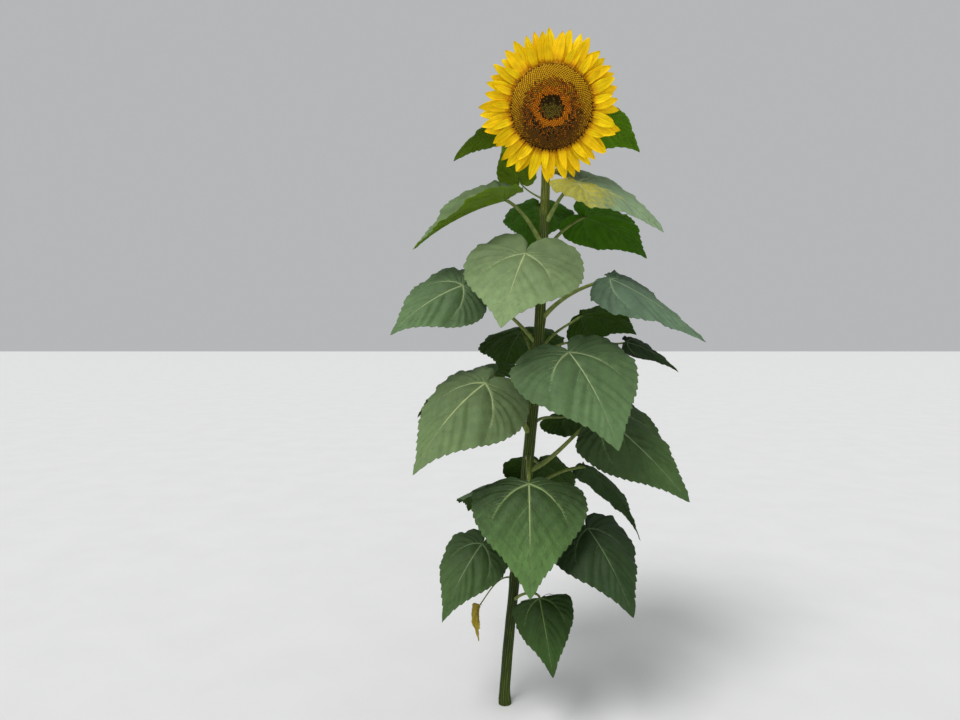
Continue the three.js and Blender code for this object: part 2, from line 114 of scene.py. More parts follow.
# Leaves from the ground up, as in the source: where the stalk leaves the stem (height, turn), how it
# reaches the blade (reach, lift, rise), the blade's run (heading, pitch, droop, roll), its size
# (length, width), the fold and curl of its left and right halves, its lobes and sway, and its tone.
LEAF_KEYS = ("height", "turn", "reach", "lift", "rise", "heading", "pitch", "droop", "roll",
             "length", "width", "fold", "curl", "lobes", "sway", "tone")
# The fold and curl of most leaves' halves.
FOLD = (-10, -10)
CURL = (-15, -15)
LEAF_ROWS = [
    (378, -61, 173, 62, 45, -80, -45, -72, 20, 252, 215, FOLD, CURL, 0.1, 5, "dusk"),
    (458, -166, 131, -88, 20, -125, -75, -95, 20, 130, 55, (30, 30), (10, 10), 0.1, 0, "dry"),
    (479, -134, 175, 140, 50, -127, -30, -65, -10, 295, 235, (-28, 0), CURL, 0.6, -5, "calm"),
    (523, -36, 280, 160, 45, -62, -30, -66, 10, 320, 310, FOLD, CURL, 0.7, 5, "deep"),
    (640, 115, 210, 110, 45, 112, -10, -55, 0, 300, 290, FOLD, CURL, 1, 4, "mid"),
    (745, 22, 250, 97, 50, 5, -35, -70, -25, 360, 165, FOLD, CURL, 0.25, 0, "murky"),
    (847, -13, 275, 194, 25, -26, -36, -52, 30, 392, 310, (4, -30), CURL, 0.35, 5, "calm"),
    (850, 72, 190, -8, 45, 75, -35, -65, 0, 300, 290, FOLD, CURL, 1, -4, "deep"),
    (887, -93, 221, -42, 35, -92, -42, -92, 0, 375, 380, (-8, -8), (-12, -12), 0.3, 0, "soft"),
    (980, -136, 225, 189, 55, -143, -28, -60, -20, 400, 385, (-22, -10), CURL, 0.75, 0, "moss"),
    (1012, 38, 175, 20, 35, 42, -15, -50, -20, 260, 240, FOLD, CURL, 1, 5, "deep"),
    (1075, 150, 210, 130, 45, 150, -15, -55, 0, 350, 340, FOLD, CURL, 1, 4, "mid"),
    (1150, -66, 230, 123, 45, -54, -40, -65, -6, 370, 440, (16, -20), (-5, -28), 0.6, 0, "mid"),
    (1215, 100, 220, 130, 45, 100, -12, -55, 0, 350, 340, FOLD, CURL, 1, 4, "mid"),
    (1240, 16, 350, 60, 50, -2, -15, -45, 45, 222, 96, FOLD, CURL, 0.25, 0, "deep"),
    (1274, 33, 205, 126, 50, 22, -5, -26, -30, 265, 260, FOLD, CURL, 0.4, 5, "mid"),
    (1300, -166, 273, 198, 50, -158, -20, -48, -45, 310, 280, FOLD, CURL, 0.6, 0, "mid"),
    (1387, -16, 245, 134, 50, -18, -26, -44, 8, 385, 310, (3, -22), (0, -12), 0.3, 5, "blue"),
    (1450, 120, 190, 140, 50, 112, -12, -50, 0, 330, 310, FOLD, CURL, 1, 4, "light"),
    (1584, -111, 204, 10, 35, -116, -42, -62, -8, 310, 405, (-12, -2), (-12, -12), 1.3, 0, "pale"),
    (1619, 36, 203, 142, 50, 20, -14, -41, -15, 320, 260, (-14, 2), (-15, -8), 0.75, 5, "pale"),
    (1650, -164, 140, 144, 60, -175, -15, -41, -10, 370, 280, (20, 26), (0, 5), 0.5, 0, "fresh"),
    (1690, 92, 160, 120, 50, 92, -10, -45, 0, 300, 270, FOLD, CURL, 1, 4, "pale"),
    (1720, -32, 127, 130, 60, -8, -15, -50, 30, 342, 280, (3, 0), (-8, -8), 0.92, 0, "silver"),
    (1805, 129, 138, 92, 25, 172, 72, 62, 86, 158, 148, FOLD, CURL, 0.8, 0, "fresh"),
    (1903, 8, 155, 177, 60, 14, -5, -45, -30, 225, 205, (-10, 0), CURL, 1, 0, "light"),
    (1960, 172, 118, 142, 60, 178, -25, -50, 20, 265, 190, FOLD, CURL, 0.6, 0, "fresh"),
]

# The leaf, by its number, whose left side has begun to turn yellow.
TURNING_LEAF = 24


def wobble(index, salt):
    """A repeatable number from -1 to 1 for each pair of whole numbers, as in the source."""
    wave = math.sin(index * 12.9898 + salt * 78.233) * 43758.5453
    return 2 * (wave - math.floor(wave)) - 1


def unit(vectors):
    return vectors / np.linalg.norm(vectors, axis=-1, keepdims=True)


STRAIGHT = 1e-9


def arc(distance, first, last, length):
    """How far along and how high an evenly turning walk has come, and its slope there."""
    turn = (last - first) / length
    if abs(turn) < STRAIGHT:
        return distance * math.cos(first), distance * math.sin(first), first + 0 * distance
    slope = first + turn * distance
    return (np.sin(slope) - math.sin(first)) / turn, (math.cos(first) - np.cos(slope)) / turn, slope


def waves(x, y, rows):
    """A sum of sines: for each row its size, its rates along x and y, and where it starts."""
    return sum(size * np.sin(along * x + across * y + start) for size, along, across, start in rows)


def bell(distance, width):
    """1 at no distance, and falling away smoothly over the width."""
    return np.exp(-(distance / width) ** 2)


def line(pair, x):
    """The value at x of a straight line that starts at the pair's first number and rises by its second."""
    return pair[0] + pair[1] * x


def level_way(angle):
    """The level direction at an angle from the X axis."""
    return np.stack([np.cos(angle), np.sin(angle), 0 * angle], axis=-1)


def all_round(sides):
    """Evenly spaced angles all round."""
    return np.linspace(0, 2 * pi, sides, endpoint=False)


def link_object(name, data):
    """A new object in the scene that holds a mesh, a light or a camera."""
    made = bpy.data.objects.new(name, data)
    bpy.context.scene.collection.objects.link(made)
    return made


class Shape:
    """Points and faces, in millimetres, that grow body by body into one mesh."""

    def __init__(self):
        self.points, self.faces, self.slots = [], [], []
        self.count = 0

    def add(self, points, *blocks):
        """Adds one closed body, or many alike: its points, and blocks of faces with their slot."""
        points = np.asarray(points, dtype=float).reshape(-1, 3)
        centred = points - points.mean(axis=0)
        inside_out = sum(signed_volume(centred, faces) for faces, _ in blocks) < 0
        for faces, slot in blocks:
            turned = faces[:, ::-1] if inside_out else faces
            self.faces.append(turned + self.count)
            self.slots.append(np.broadcast_to(slot, len(faces)))
        self.points.append(points)
        self.count += len(points)

    def build(self, name, materials, node):
        """Makes the Blender mesh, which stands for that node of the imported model."""
        points = np.concatenate(self.points) * MM
        corners = np.concatenate([faces.reshape(-1) for faces in self.faces])
        sizes = np.concatenate([np.full(len(faces), faces.shape[1]) for faces in self.faces])
        mesh = bpy.data.meshes.new(name)
        mesh.vertices.add(len(points))
        mesh.vertices.foreach_set("co", points.reshape(-1))
        mesh.loops.add(len(corners))
        mesh.loops.foreach_set("vertex_index", corners)
        mesh.polygons.add(len(sizes))
        mesh.polygons.foreach_set("loop_start", np.concatenate([[0], np.cumsum(sizes)[:-1]]))
        mesh.polygons.foreach_set("material_index", np.concatenate(self.slots))
        mesh.polygons.foreach_set("use_smooth", np.ones(len(sizes), dtype=bool))
        for material in materials:
            mesh.materials.append(material)
        mesh.update(calc_edges=True)
        piece = link_object(name, mesh)
        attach(piece, "root")
        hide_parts(node)


def signed_volume(points, faces):
    """Six times the volume inside closed faces, negative where they face inward."""
    first = points[faces[:, 0]]
    return sum(np.einsum("ij,ij->", first, np.cross(points[faces[:, i]], points[faces[:, i + 1]]))
               for i in range(1, faces.shape[1] - 1))


def strip_faces(rows, columns):
    """Quads between neighbouring rows of points, each row closed round."""
    row = np.arange(rows - 1)[:, None] * columns
    here = np.arange(columns)[None, :]
    after = (here + 1) % columns
    quads = np.stack([row + here, row + after, row + columns + after, row + columns + here], axis=-1)
    return quads.reshape(-1, 4)


def fan_faces(columns, first, middle):
    """Triangles from a middle point to a closed ring of points that starts at the first."""
    around = np.arange(columns)
    return np.stack([np.full(columns, middle), first + around, first + (around + 1) % columns], axis=-1)


def skin_faces(rows, columns):
    """Faces of a closed body through rings: its quads, and the fans that shut its first and last ring."""
    total = rows * columns
    return (strip_faces(rows, columns), fan_faces(columns, 0, total)[:, ::-1],
            fan_faces(columns, total - columns, total + 1))


def with_middles(rings):
    """The rings' points, followed by the middles of the first and the last ring."""
    return np.concatenate([rings.reshape(-1, 3), rings[:1].mean(axis=1), rings[-1:].mean(axis=1)])


def add_skin(shape, rings, slots):
    """Adds a closed body through rings of points, with a slot for each face between the rings."""
    quads, first, last = skin_faces(*rings.shape[:2])
    shape.add(with_middles(rings), (quads, slots), (first, slots[0]), (last, slots[-1]))


def add_loft(shape, rings, slot=0):
    """As add_skin, with one slot, or one for each row of faces."""
    rows, columns = rings.shape[:2]
    add_skin(shape, rings, np.repeat(np.broadcast_to(slot, rows - 1), columns))


def face_means(values, faces):
    """The mean over each face of what each of its points has."""
    return values.reshape(-1)[faces].mean(axis=1)


def stamp(shape, template, places, frames, scales, slot):
    """Adds a copy of the template, its points and faces, at each place, turned by its frame and scaled."""
    corners, faces = template
    points = np.einsum("nij,vj->nvi", frames, corners) * scales[:, None, None] + places[:, None, :]
    offsets = np.arange(len(places))[:, None, None] * len(corners)
    faces = (faces[None] + offsets).reshape(-1, faces.shape[1])
    shape.add(points, (faces, slot))


NEAR_UPRIGHT = 0.9


def frames_along(axes, turns):
    """Frames whose third axis is each given direction, turned about it by each given angle."""
    axes = unit(axes)
    helper = np.where(np.abs(axes[:, 2:3]) < NEAR_UPRIGHT, UP, np.array([1.0, 0.0, 0.0]))
    first = unit(np.cross(helper, axes))
    second = np.cross(axes, first)
    cos, sin = np.cos(turns)[:, None], np.sin(turns)[:, None]
    return np.stack([first * cos + second * sin, second * cos - first * sin, axes], axis=-1)


# Materials.

# Finishes: about how many patches of colour and grains of bump there are in a metre, the bump's strength,
# the roughness, the specular level, and how close the pattern lies upward against sideways.
FINISHES = {
    "leaf": (26, 420, 0.35, 0.6, 0.2, 1),
    "leaf_under": (26, 420, 0.35, 0.6, 0.06, 1),
    "stem": (34, 160, 0.5, 0.6, 0.2, 0.12),
    "stalk": (60, 300, 0.4, 0.55, 0.25, 1),
    "hair": (200, 300, 0.1, 0.6, 0.1, 1),
    "petal": (36, 500, 0.3, 0.6, 0.12, 1),
    "bract": (50, 300, 0.4, 0.6, 0.2, 1),
    "cup": (40, 220, 0.5, 0.6, 0.2, 1),
    "floret": (260, 900, 0.3, 0.65, 0.1, 1),
    "floor": (3, 300, 0.02, 0.8, 0.35, 1),
}
PATCH_EDGES = (0.36, 0.64)
PATCH_DETAIL = 4
GRAIN_DETAIL = 3
GRAIN_HEIGHT = 0.001
PUCKERS = 62
PUCKER_DETAIL = 2
PUCKER_HEIGHT = 0.009
LEAF_PUCKER = 0.22


def make_material(name, finish, colours, pucker=0):
    """Two colours mixed by noise, with a finer noise for the bump and, for leaves, a broader one."""
    patches, grains, bump, rough, specular, upward = FINISHES[finish]
    material = bpy.data.materials.new(name)
    material.use_nodes = True
    nodes, links = material.node_tree.nodes, material.node_tree.links
    shader = nodes["Principled BSDF"]
    shader.inputs["Roughness"].default_value = rough
    shader.inputs["Specular IOR Level"].default_value = specular

    def add(kind, output, values, sources):
        node = nodes.new("ShaderNode" + kind)
        for key, value in values.items():
            node.inputs[key].default_value = value
        for key, source in sources.items():
            links.new(source, node.inputs[key])
        return node.outputs[output]

    place = add("TexCoord", "Object", {}, {})
    place = add("Mapping", "Vector", {"Scale": (1, 1, upward)}, {"Vector": place})

    def noise(size, detail):
        return add("TexNoise", "Fac", {"Scale": size, "Detail": detail}, {"Vector": place})

    ramp = nodes.new("ShaderNodeValToRGB")
    for element, position, colour in zip(ramp.color_ramp.elements, PATCH_EDGES, colours):
        element.position = position
        element.color = (*colour, 1)
    links.new(noise(patches, PATCH_DETAIL), ramp.inputs["Fac"])
    links.new(ramp.outputs["Color"], shader.inputs["Base Color"])
    normal = add("Bump", "Normal", {"Strength": bump, "Distance": GRAIN_HEIGHT},
                 {"Height": noise(grains, GRAIN_DETAIL)})
    if pucker:
        normal = add("Bump", "Normal", {"Strength": pucker, "Distance": PUCKER_HEIGHT},
                     {"Height": noise(PUCKERS, PUCKER_DETAIL), "Normal": normal})
    links.new(normal, shader.inputs["Normal"])
    return material


# How far the two colours of a material lie on either side of its own.
LEAF_SPREAD = 0.09
PETAL_SPREAD = 0.10
STEM_SPREAD = 0.25
FLORET_SPREAD = 0.25


def shades(colour, spread):
    """A darker and a lighter shade of a colour."""
    return tuple(c * (1 - spread) for c in colour), tuple(min(1, c * (1 + spread)) for c in colour)


def family(finish, colours, spread):
    """A material for each named colour, and each name's slot."""
    made = [make_material(finish + "_" + name, finish, shades(colour, spread))
            for name, colour in colours.items()]
    return made, {name: slot for slot, name in enumerate(colours)}


def leaf_material(name, colour, finish="leaf", pucker=LEAF_PUCKER):
    return make_material("leaf_" + name, finish, shades(colour, LEAF_SPREAD), pucker)


def blend(first, second, share):
    """The colour that share of the way from the first to the second."""
    return tuple(a + (b - a) * share for a, b in zip(first, second))


# Tones of the leaves: upper side, underside and veins. The darker tones of the lower leaves are partly their
# own colour and partly painted shade from the leaves above them, and the bright undersides of the light and
# fresh tones are painted light shining through the blade.
TONES = {
    "pale": ((0.155, 0.222, 0.092), (0.048, 0.140, 0.004), (0.36, 0.42, 0.20)),
    "light": ((0.170, 0.243, 0.125), (0.115, 0.260, 0.009), (0.36, 0.41, 0.21)),
    "fresh": ((0.105, 0.160, 0.060), (0.130, 0.222, 0.012), (0.36, 0.42, 0.19)),
    "silver": ((0.165, 0.236, 0.128), (0.048, 0.140, 0.004), (0.36, 0.41, 0.21)),
    "moss": ((0.105, 0.160, 0.060), (0.050, 0.100, 0.012), (0.36, 0.42, 0.19)),
    "mid": ((0.081, 0.140, 0.053), (0.022, 0.056, 0.002), (0.33, 0.40, 0.20)),
    "blue": ((0.090, 0.148, 0.085), (0.018, 0.048, 0.003), (0.21, 0.29, 0.16)),
    "soft": ((0.052, 0.101, 0.027), (0.014, 0.038, 0.002), (0.29, 0.36, 0.15)),
    "calm": ((0.043, 0.083, 0.022), (0.020, 0.052, 0.003), (0.17, 0.24, 0.11)),
    "dusk": ((0.023, 0.055, 0.008), (0.012, 0.034, 0.002), (0.14, 0.21, 0.06)),
    "deep": ((0.018, 0.040, 0.010), (0.027, 0.060, 0.007), (0.10, 0.15, 0.06)),
    "murky": ((0.028, 0.054, 0.015), (0.034, 0.066, 0.021), (0.14, 0.19, 0.07)),
    "dry": ((0.36, 0.28, 0.030), (0.30, 0.22, 0.028), (0.40, 0.30, 0.06)),
}
TURNED_YELLOW = (0.36, 0.325, 0.035)
# Shares of the tone's colour that the upper side has from the stalk's end to the tip, each raised to its
# tone's contrast: painted shade near the stalk and painted light towards the tip.
PAINTED_SHADE_TO_LIGHT = (0.80, 0.86, 0.93, 1.0, 1.07, 1.15, 1.24)
PAINTED_LIGHT_CONTRAST = {"soft": 2.6}
# How far ribs above and veins below go from the blade's colour to the veins'.
RIB_PALE = 0.16
UNDER_VEIN_PALE = 0.12


def leaf_materials(tone):
    """Materials of a leaf, in the order of the slots below."""
    upper, under, vein = TONES[tone]
    rib = blend(upper, vein, RIB_PALE)
    contrast = PAINTED_LIGHT_CONTRAST.get(tone, 1)
    return [
        leaf_material("under_" + tone, under, "leaf_under"),
        leaf_material("vein_" + tone, vein, pucker=0),
        leaf_material("vein_end_" + tone, blend(upper, vein, 0.5), pucker=0),
        leaf_material("rib_" + tone, rib, pucker=0),
        leaf_material("halo_" + tone, rib),
        leaf_material("under_vein_" + tone, blend(under, vein, UNDER_VEIN_PALE), "leaf_under", 0),
        leaf_material("yellow_" + tone, TURNED_YELLOW),
        leaf_material("yellowing_" + tone, blend(upper, TURNED_YELLOW, 0.5)),
        # Copies of the upper colour with painted shade near the stalk and painted light towards the tip.
        *(leaf_material("upper_%s_%d" % (tone, place), tuple(c * shade ** contrast for c in upper))
          for place, shade in enumerate(PAINTED_SHADE_TO_LIGHT)),
    ]


# Slots of a leaf's materials; the last ones hold the upper side's painted shade and painted light.
UNDER, VEIN, VEIN_END, RIB, HALO_SLOT, UNDER_VEIN, YELLOW, YELLOWING, FIRST_PAINTED_LIGHT = range(9)
tone_materials = {tone: leaf_materials(tone) for tone in TONES}

STEM_COLOURS = {
    "upper_skin": (0.140, 0.170, 0.022),
    "upper_ridge": (0.34, 0.36, 0.085),
    "middle_skin": (0.030, 0.049, 0.004),
    "middle_ridge": (0.118, 0.152, 0.024),
    "lower_skin": (0.019, 0.035, 0.002),
    "lower_ridge": (0.066, 0.096, 0.009),
}
PETAL_COLOURS = {
    "yellow": (0.91, 0.60, 0.001),
    "golden": (0.89, 0.56, 0.001),
    "bright": (0.93, 0.64, 0.001),
    "amber": (0.84, 0.47, 0.001),
    "orange": (0.66, 0.29, 0.001),
    "painted_groove_shade": (0.80, 0.48, 0.001),
}
FLORET_COLOURS = {
    "bed": (0.100, 0.046, 0.005),
    "olive": (0.135, 0.100, 0.012),
    "umber": (0.075, 0.050, 0.008),
    "shade": (0.032, 0.016, 0.004),
    "orange": (0.53, 0.150, 0.005),
    "amber": (0.60, 0.195, 0.006),
    "rust": (0.31, 0.090, 0.006),
    "speck": (0.70, 0.46, 0.15),
    "gold": (0.57, 0.295, 0.006),
    "ochre": (0.51, 0.255, 0.006),
    "bronze": (0.39, 0.185, 0.006),
    "sepia": (0.26, 0.112, 0.006),
    "brown": (0.135, 0.056, 0.006),
    "tooth": (0.024, 0.014, 0.005),
}
stem_materials, _ = family("stem", STEM_COLOURS, STEM_SPREAD)
petal_materials, PETAL_SLOT = family("petal", PETAL_COLOURS, PETAL_SPREAD)
floret_materials, FLORET_SLOT = family("floret", FLORET_COLOURS, FLORET_SPREAD)
stalk_skin = make_material("stalk_skin", "stalk", ((0.122, 0.168, 0.030), (0.21, 0.26, 0.060)))
hair = make_material("pale_hair", "hair", ((0.17, 0.21, 0.045), (0.31, 0.36, 0.10)))
bract_skin = make_material("bract_skin", "bract", ((0.05, 0.11, 0.014), (0.10, 0.19, 0.035)))
cup_skin = make_material("cup_skin", "cup", ((0.07, 0.14, 0.025), (0.13, 0.22, 0.05)))


# Stem.

YAW, NOD = radians(HEAD_YAW), radians(HEAD_NOD)
FACING = np.array([math.sin(YAW) * math.cos(NOD), -math.cos(YAW) * math.cos(NOD), -math.sin(NOD)])
HEAD_ACROSS = unit(np.cross(UP, FACING))
HEAD_FRAME = np.stack([HEAD_ACROSS, np.cross(FACING, HEAD_ACROSS), FACING], axis=-1)


def on_head(points):
    """Moves points from the head's own frame, whose third axis is the way it faces, to the plant's."""
    return HEAD_AT + points @ HEAD_FRAME.T


NECK_END = CUP_BACK - GAP
STATIONS = np.array(
    [row[:3] for row in STEM_PATH]
    + [list(HEAD_AT + FACING * (NECK_END - NECK_RUN)), list(HEAD_AT + FACING * NECK_END)], dtype=float)
STATION_RADII = np.array([row[3] for row in STEM_PATH] + [NECK_RUN_RADIUS, NECK_RADIUS], dtype=float)
LAST = len(STATIONS) - 1


def stem_point(share):
    """Points on the stem's middle line at shares of its run."""
    run = np.concatenate([[2 * STATIONS[0] - STATIONS[1]], STATIONS, [2 * STATIONS[-1] - STATIONS[-2]]])
    place = np.clip(np.asarray(share, dtype=float), 0, 1) * LAST
    low = np.minimum(np.floor(place).astype(int), LAST - 1)
    w = (place - low)[..., None]
    before, here, after, beyond = (run[low + i] for i in range(4))
    leave, arrive = (after - before) / 2, (beyond - here) / 2
    square = -3 * here + 3 * after - 2 * leave - arrive
    cube = 2 * here - 2 * after + leave + arrive
    return here + leave * w + square * w ** 2 + cube * w ** 3


SMALL_SHARE = 1e-4
SHARE_STEPS = 4000


def stem_tangent(share):
    """The stem's direction at shares of its run."""
    share = np.asarray(share, dtype=float)
    ahead, behind = np.minimum(share + SMALL_SHARE, 1), np.maximum(share - SMALL_SHARE, 0)
    return unit(stem_point(ahead) - stem_point(behind))


def stem_radius(share):
    """The stem's radius at shares of its run."""
    return np.interp(np.asarray(share) * LAST, np.arange(LAST + 1), STATION_RADII)


def stem_share(height):
    """The share of the stem's run at a height below the neck."""
    shares = np.linspace(0, 1 - NECK_POINTS / LAST, SHARE_STEPS)
    return float(np.interp(height, stem_point(shares)[:, 2], shares))


STEM_RINGS = 320
STEM_SIDES = 80
STEM_RIBS = 16
RIB_DEPTH = 0.06
RIB_ROUND = 0.6
# The swelling where each stalk leaves, and how far it reaches up and round the stem.
NODE_SWELL = 3.2
NODE_REACH = 16
NODE_TURN = 0.55
# Waves by the share of the stem's run and the angle round it: of the ribs' course, and of the skin.
STEM_DRIFT = ((0.125, 9, 0, 1.3), (0.075, 23, 0, 0))
STEM_WANDER = ((0.8, 14, 3, 0),)
STEM_LUMPS = ((0.35, 60, 2, 0), (0.25, 141, -3, 0))
STEM_INSET = 0.4
RIDGE_FROM = 0.78
MIDDLE_TOP = 1780
LOWER_TOP = 620
ZONE_RAGGED = 60


def stem_surface(share, angle):
    """Points on the ribbed skin of the stem, how much of a ridge each lies on, and the way out."""
    along = stem_tangent(share)
    side = unit(np.array([1.0, 0, 0]) - along * along[..., :1])
    ribs = STEM_RIBS * (angle + waves(share, angle, STEM_DRIFT)) + waves(share, angle, STEM_WANDER)
    ridge = 0.5 + 0.5 * np.cos(ribs)
    radius = stem_radius(share) * (1 - RIB_DEPTH + RIB_DEPTH * ridge ** RIB_ROUND)
    swell = np.zeros_like(radius)
    for leaf in leaves:
        away = (share - stem_share(leaf.height)) * STEM_LENGTH
        turned = np.angle(np.exp(1j * (angle - radians(leaf.turn))))
        swell += NODE_SWELL * bell(away, NODE_REACH) * bell(turned, NODE_TURN)
    outward = side * np.cos(angle)[..., None] + np.cross(along, side) * np.sin(angle)[..., None]
    radius = radius + swell + waves(share, angle, STEM_LUMPS) - STEM_INSET
    return stem_point(share) + outward * radius[..., None], ridge, outward


def limb_grid(rings, sides):
    """Shares of a limb's run and angles round it, for rings of points."""
    return np.meshgrid(np.linspace(0, 1, rings), all_round(sides), indexing="ij")


def make_stem():
    shape = Shape()
    points, ridge, _ = stem_surface(*limb_grid(STEM_RINGS, STEM_SIDES))
    points[0, :, 2] = 0
    faces = strip_faces(STEM_RINGS, STEM_SIDES)
    face_ridge = face_means(ridge, faces)
    height = face_means(points[..., 2], faces)
    ragged = height + ZONE_RAGGED * np.sin(height / 23) * np.sin(face_ridge * 5)
    level = (ragged < MIDDLE_TOP).astype(int) + (ragged < LOWER_TOP)
    add_skin(shape, points, 2 * level + (face_ridge > RIDGE_FROM))
    shape.build("stem_skin", stem_materials, "stem")


# Hairs: a slim closed spike, one unit long, with the corners of its root one unit from its axis.
HAIR = (np.array([[1, 0, 0], [-0.5, 0.87, 0], [-0.5, -0.87, 0], [0, 0, 1]], dtype=float),
        np.array([[0, 2, 1], [0, 1, 3], [1, 2, 3], [2, 0, 3]]))
HAIR_WIDTH = 0.256
HAIR_SHORTEST = 0.4
HAIR_DEPTH = 0.4
HAIR_LEAN = 0.5
HAIR_SCATTER = 0.15
# How long hairs grow, how many there are (on stalks, for each millimetre), and the shares of the run
# between which they stand.
STEM_HAIR = 3.4
STEM_HAIRS = 6000
STEM_HAIRY = (0.01, 1)
STALK_HAIR = 2.4
STALK_HAIRS = 0.7
STALK_HAIRY = (0.04, 0.97)


def make_hairs():
    """Pale bristles on the stem and the stalks."""
    rng = np.random.default_rng(11)
    shape = Shape()
    share = rng.uniform(*STEM_HAIRY, STEM_HAIRS)
    points, _, outward = stem_surface(share, rng.uniform(-pi, pi, STEM_HAIRS))
    add_spikes(shape, rng, points, outward, stem_tangent(share), STEM_HAIR)
    for leaf in leaves:
        if leaf.tone == "dry":
            continue
        count = int(leaf.span * STALK_HAIRS)
        share = rng.uniform(*STALK_HAIRY, count)
        surface = stalk_surface(leaf, share, rng.uniform(-pi, pi, count))
        add_spikes(shape, rng, *surface, STALK_HAIR)
    shape.build("pale_hairs", [hair], "stem")


def add_spikes(shape, rng, points, outward, along, length):
    """Hairs of about the same length that stand on a skin at those points."""
    count = len(points)
    lean = outward + along * rng.uniform(-HAIR_LEAN, HAIR_LEAN, (count, 1))
    lean = lean + rng.normal(0, HAIR_SCATTER, (count, 3))
    frames = frames_along(lean, rng.uniform(0, 2 * pi, count))
    sizes = np.array([HAIR_WIDTH, HAIR_WIDTH, length]) * rng.uniform(HAIR_SHORTEST, 1, (count, 1, 1))
    stamp(shape, HAIR, points - outward * HAIR_DEPTH, frames * sizes, np.ones(count), 0)


# Leaves.

def margin(angle):
    """The outline's distance at an angle off the midrib, smooth through the table's points."""
    turned = np.degrees(np.abs(angle))
    x, y = OUTLINE[:, 0], OUTLINE[:, 1]
    slopes = np.gradient(y, x)
    low = np.clip(np.searchsorted(x, turned, side="right") - 1, 0, len(x) - 2)
    step = x[low + 1] - x[low]
    t = (turned - x[low]) / step
    return ((1 + 2 * t) * (1 - t) ** 2 * y[low] + t * (1 - t) ** 2 * step * slopes[low]
            + t ** 2 * (3 - 2 * t) * y[low + 1] + t ** 2 * (t - 1) * step * slopes[low + 1])


def blade_point(leaf, along, across, above):
    """Points on the leaf, for distances along the midrib, across it to its left, and off its face."""
    along, across, above = np.broadcast_arrays(along, across, above)
    walk, climb, slope = arc(along, radians(leaf.pitch), radians(leaf.droop), leaf.length)
    forward = level_way(np.radians(leaf.heading + leaf.sway * along / leaf.length))
    left = np.cross(UP, forward)
    normal = UP * np.cos(slope)[..., None] - forward * np.sin(slope)[..., None]
    roll = radians(leaf.roll)
    side = left * math.cos(roll) + normal * math.sin(roll)
    lift = normal * math.cos(roll) - left * math.sin(roll)
    halves = []
    for fold, curl in zip(np.radians(leaf.fold), np.radians(leaf.curl)):
        halves.append(arc(np.abs(across), fold, fold + curl, leaf.width / 2))
    spread, rise, tilt = (np.where(across < 0, on_right, on_left) for on_left, on_right in zip(*halves))
    sign = np.sign(across)
    tilt = tilt * sign
    return (leaf.base + forward * walk[..., None] + UP * climb[..., None]
            + side * (sign * spread - above * np.sin(tilt))[..., None]
            + lift * (rise + above * np.cos(tilt))[..., None])


def leaf_polar(leaf, along, across):
    """The angle off the midrib and the share of the way to the margin of points on the flat blade."""
    forward = np.where(along < 0, along / leaf.lobes, along)
    angle = np.arctan2(across / leaf.stretch, forward)
    return angle, np.hypot(forward, across / leaf.stretch) / (margin(angle) * leaf.length)


def leaf_plane(leaf, angle, share):
    """The flat blade's point at an angle off the midrib and a share of the way to the margin."""
    reach = share * margin(angle) * leaf.length
    along = reach * np.cos(angle)
    return np.where(along < 0, along * leaf.lobes, along), reach * np.sin(angle) * leaf.stretch


# Puffs between the veins begin and are full at shares of the way to the margin, and lessen towards it.
PUFF = 12.5
PUFF_REACH = 17
PUFF_CREASE = 1.3
PUFF_FROM = 0.06
PUFF_FULL = 0.22
PUFF_LOSS = 0.4
NETWORK_STEP = 4
# Waves of the margin by the angle off the midrib and the leaf's own phase, and finer ones all over.
RIPPLE = 4.4
RIPPLES = ((1, 7, 1, 0), (0.6, 13, -1.7, 0), (0.4, 23, 1, 0))
WAVE = 5.0
CRINKLE = 0.8
MARGIN_DROP = 3.5


def vein_distance(along, across, network):
    """How far points of the flat blade lie from the veins' points."""
    flat = np.stack([along.reshape(-1), across.reshape(-1)], axis=-1)
    square = (flat ** 2).sum(axis=1)[:, None] + (network ** 2).sum(axis=1)[None] - 2 * flat @ network.T
    return np.sqrt(np.maximum(square.min(axis=1), 0)).reshape(along.shape)


def relief(leaf, along, across):
    """How far the blade puffs up between its veins and ripples towards its margin."""
    angle, share = leaf_polar(leaf, along, across)
    away = vein_distance(along, across, leaf.network)
    begin = np.clip((share - PUFF_FROM) / (PUFF_FULL - PUFF_FROM), 0, 1)
    puff = PUFF * leaf.size * (1 - np.exp(-(away / (PUFF_REACH * leaf.size)) ** PUFF_CREASE))
    puff = puff * (1 - PUFF_LOSS * np.clip(share, 0, 1) ** 2)
    phase = leaf.seed * 2.1
    crinkle = np.sin(0.23 * along + 0.11 * across + phase) * np.sin(0.19 * across - 0.07 * along + 2 * phase)
    share = np.clip(share, 0, 1.1)
    edge = RIPPLE * waves(angle, phase, RIPPLES) * share ** 3
    edge = edge + WAVE * np.sin(3 * angle + 1.3 * phase) * share ** 2
    return (puff * begin + CRINKLE * crinkle * share + leaf.crisp * leaf.size * edge
            - MARGIN_DROP * leaf.size * share ** 3)


def vein_curve(start, leave, end, steps):
    """A vein that leaves its parent at a point in a direction and bends over to its end."""
    t = np.linspace(0, 1, steps)[:, None]
    handle = start + leave * np.linalg.norm(end - start) * 0.5
    return start * (1 - t) ** 2 + 2 * handle * t * (1 - t) + end * t ** 2


def beside(run):
    """The direction to the left of a run on the flat blade."""
    return np.stack([-run[..., 1], run[..., 0]], axis=-1)


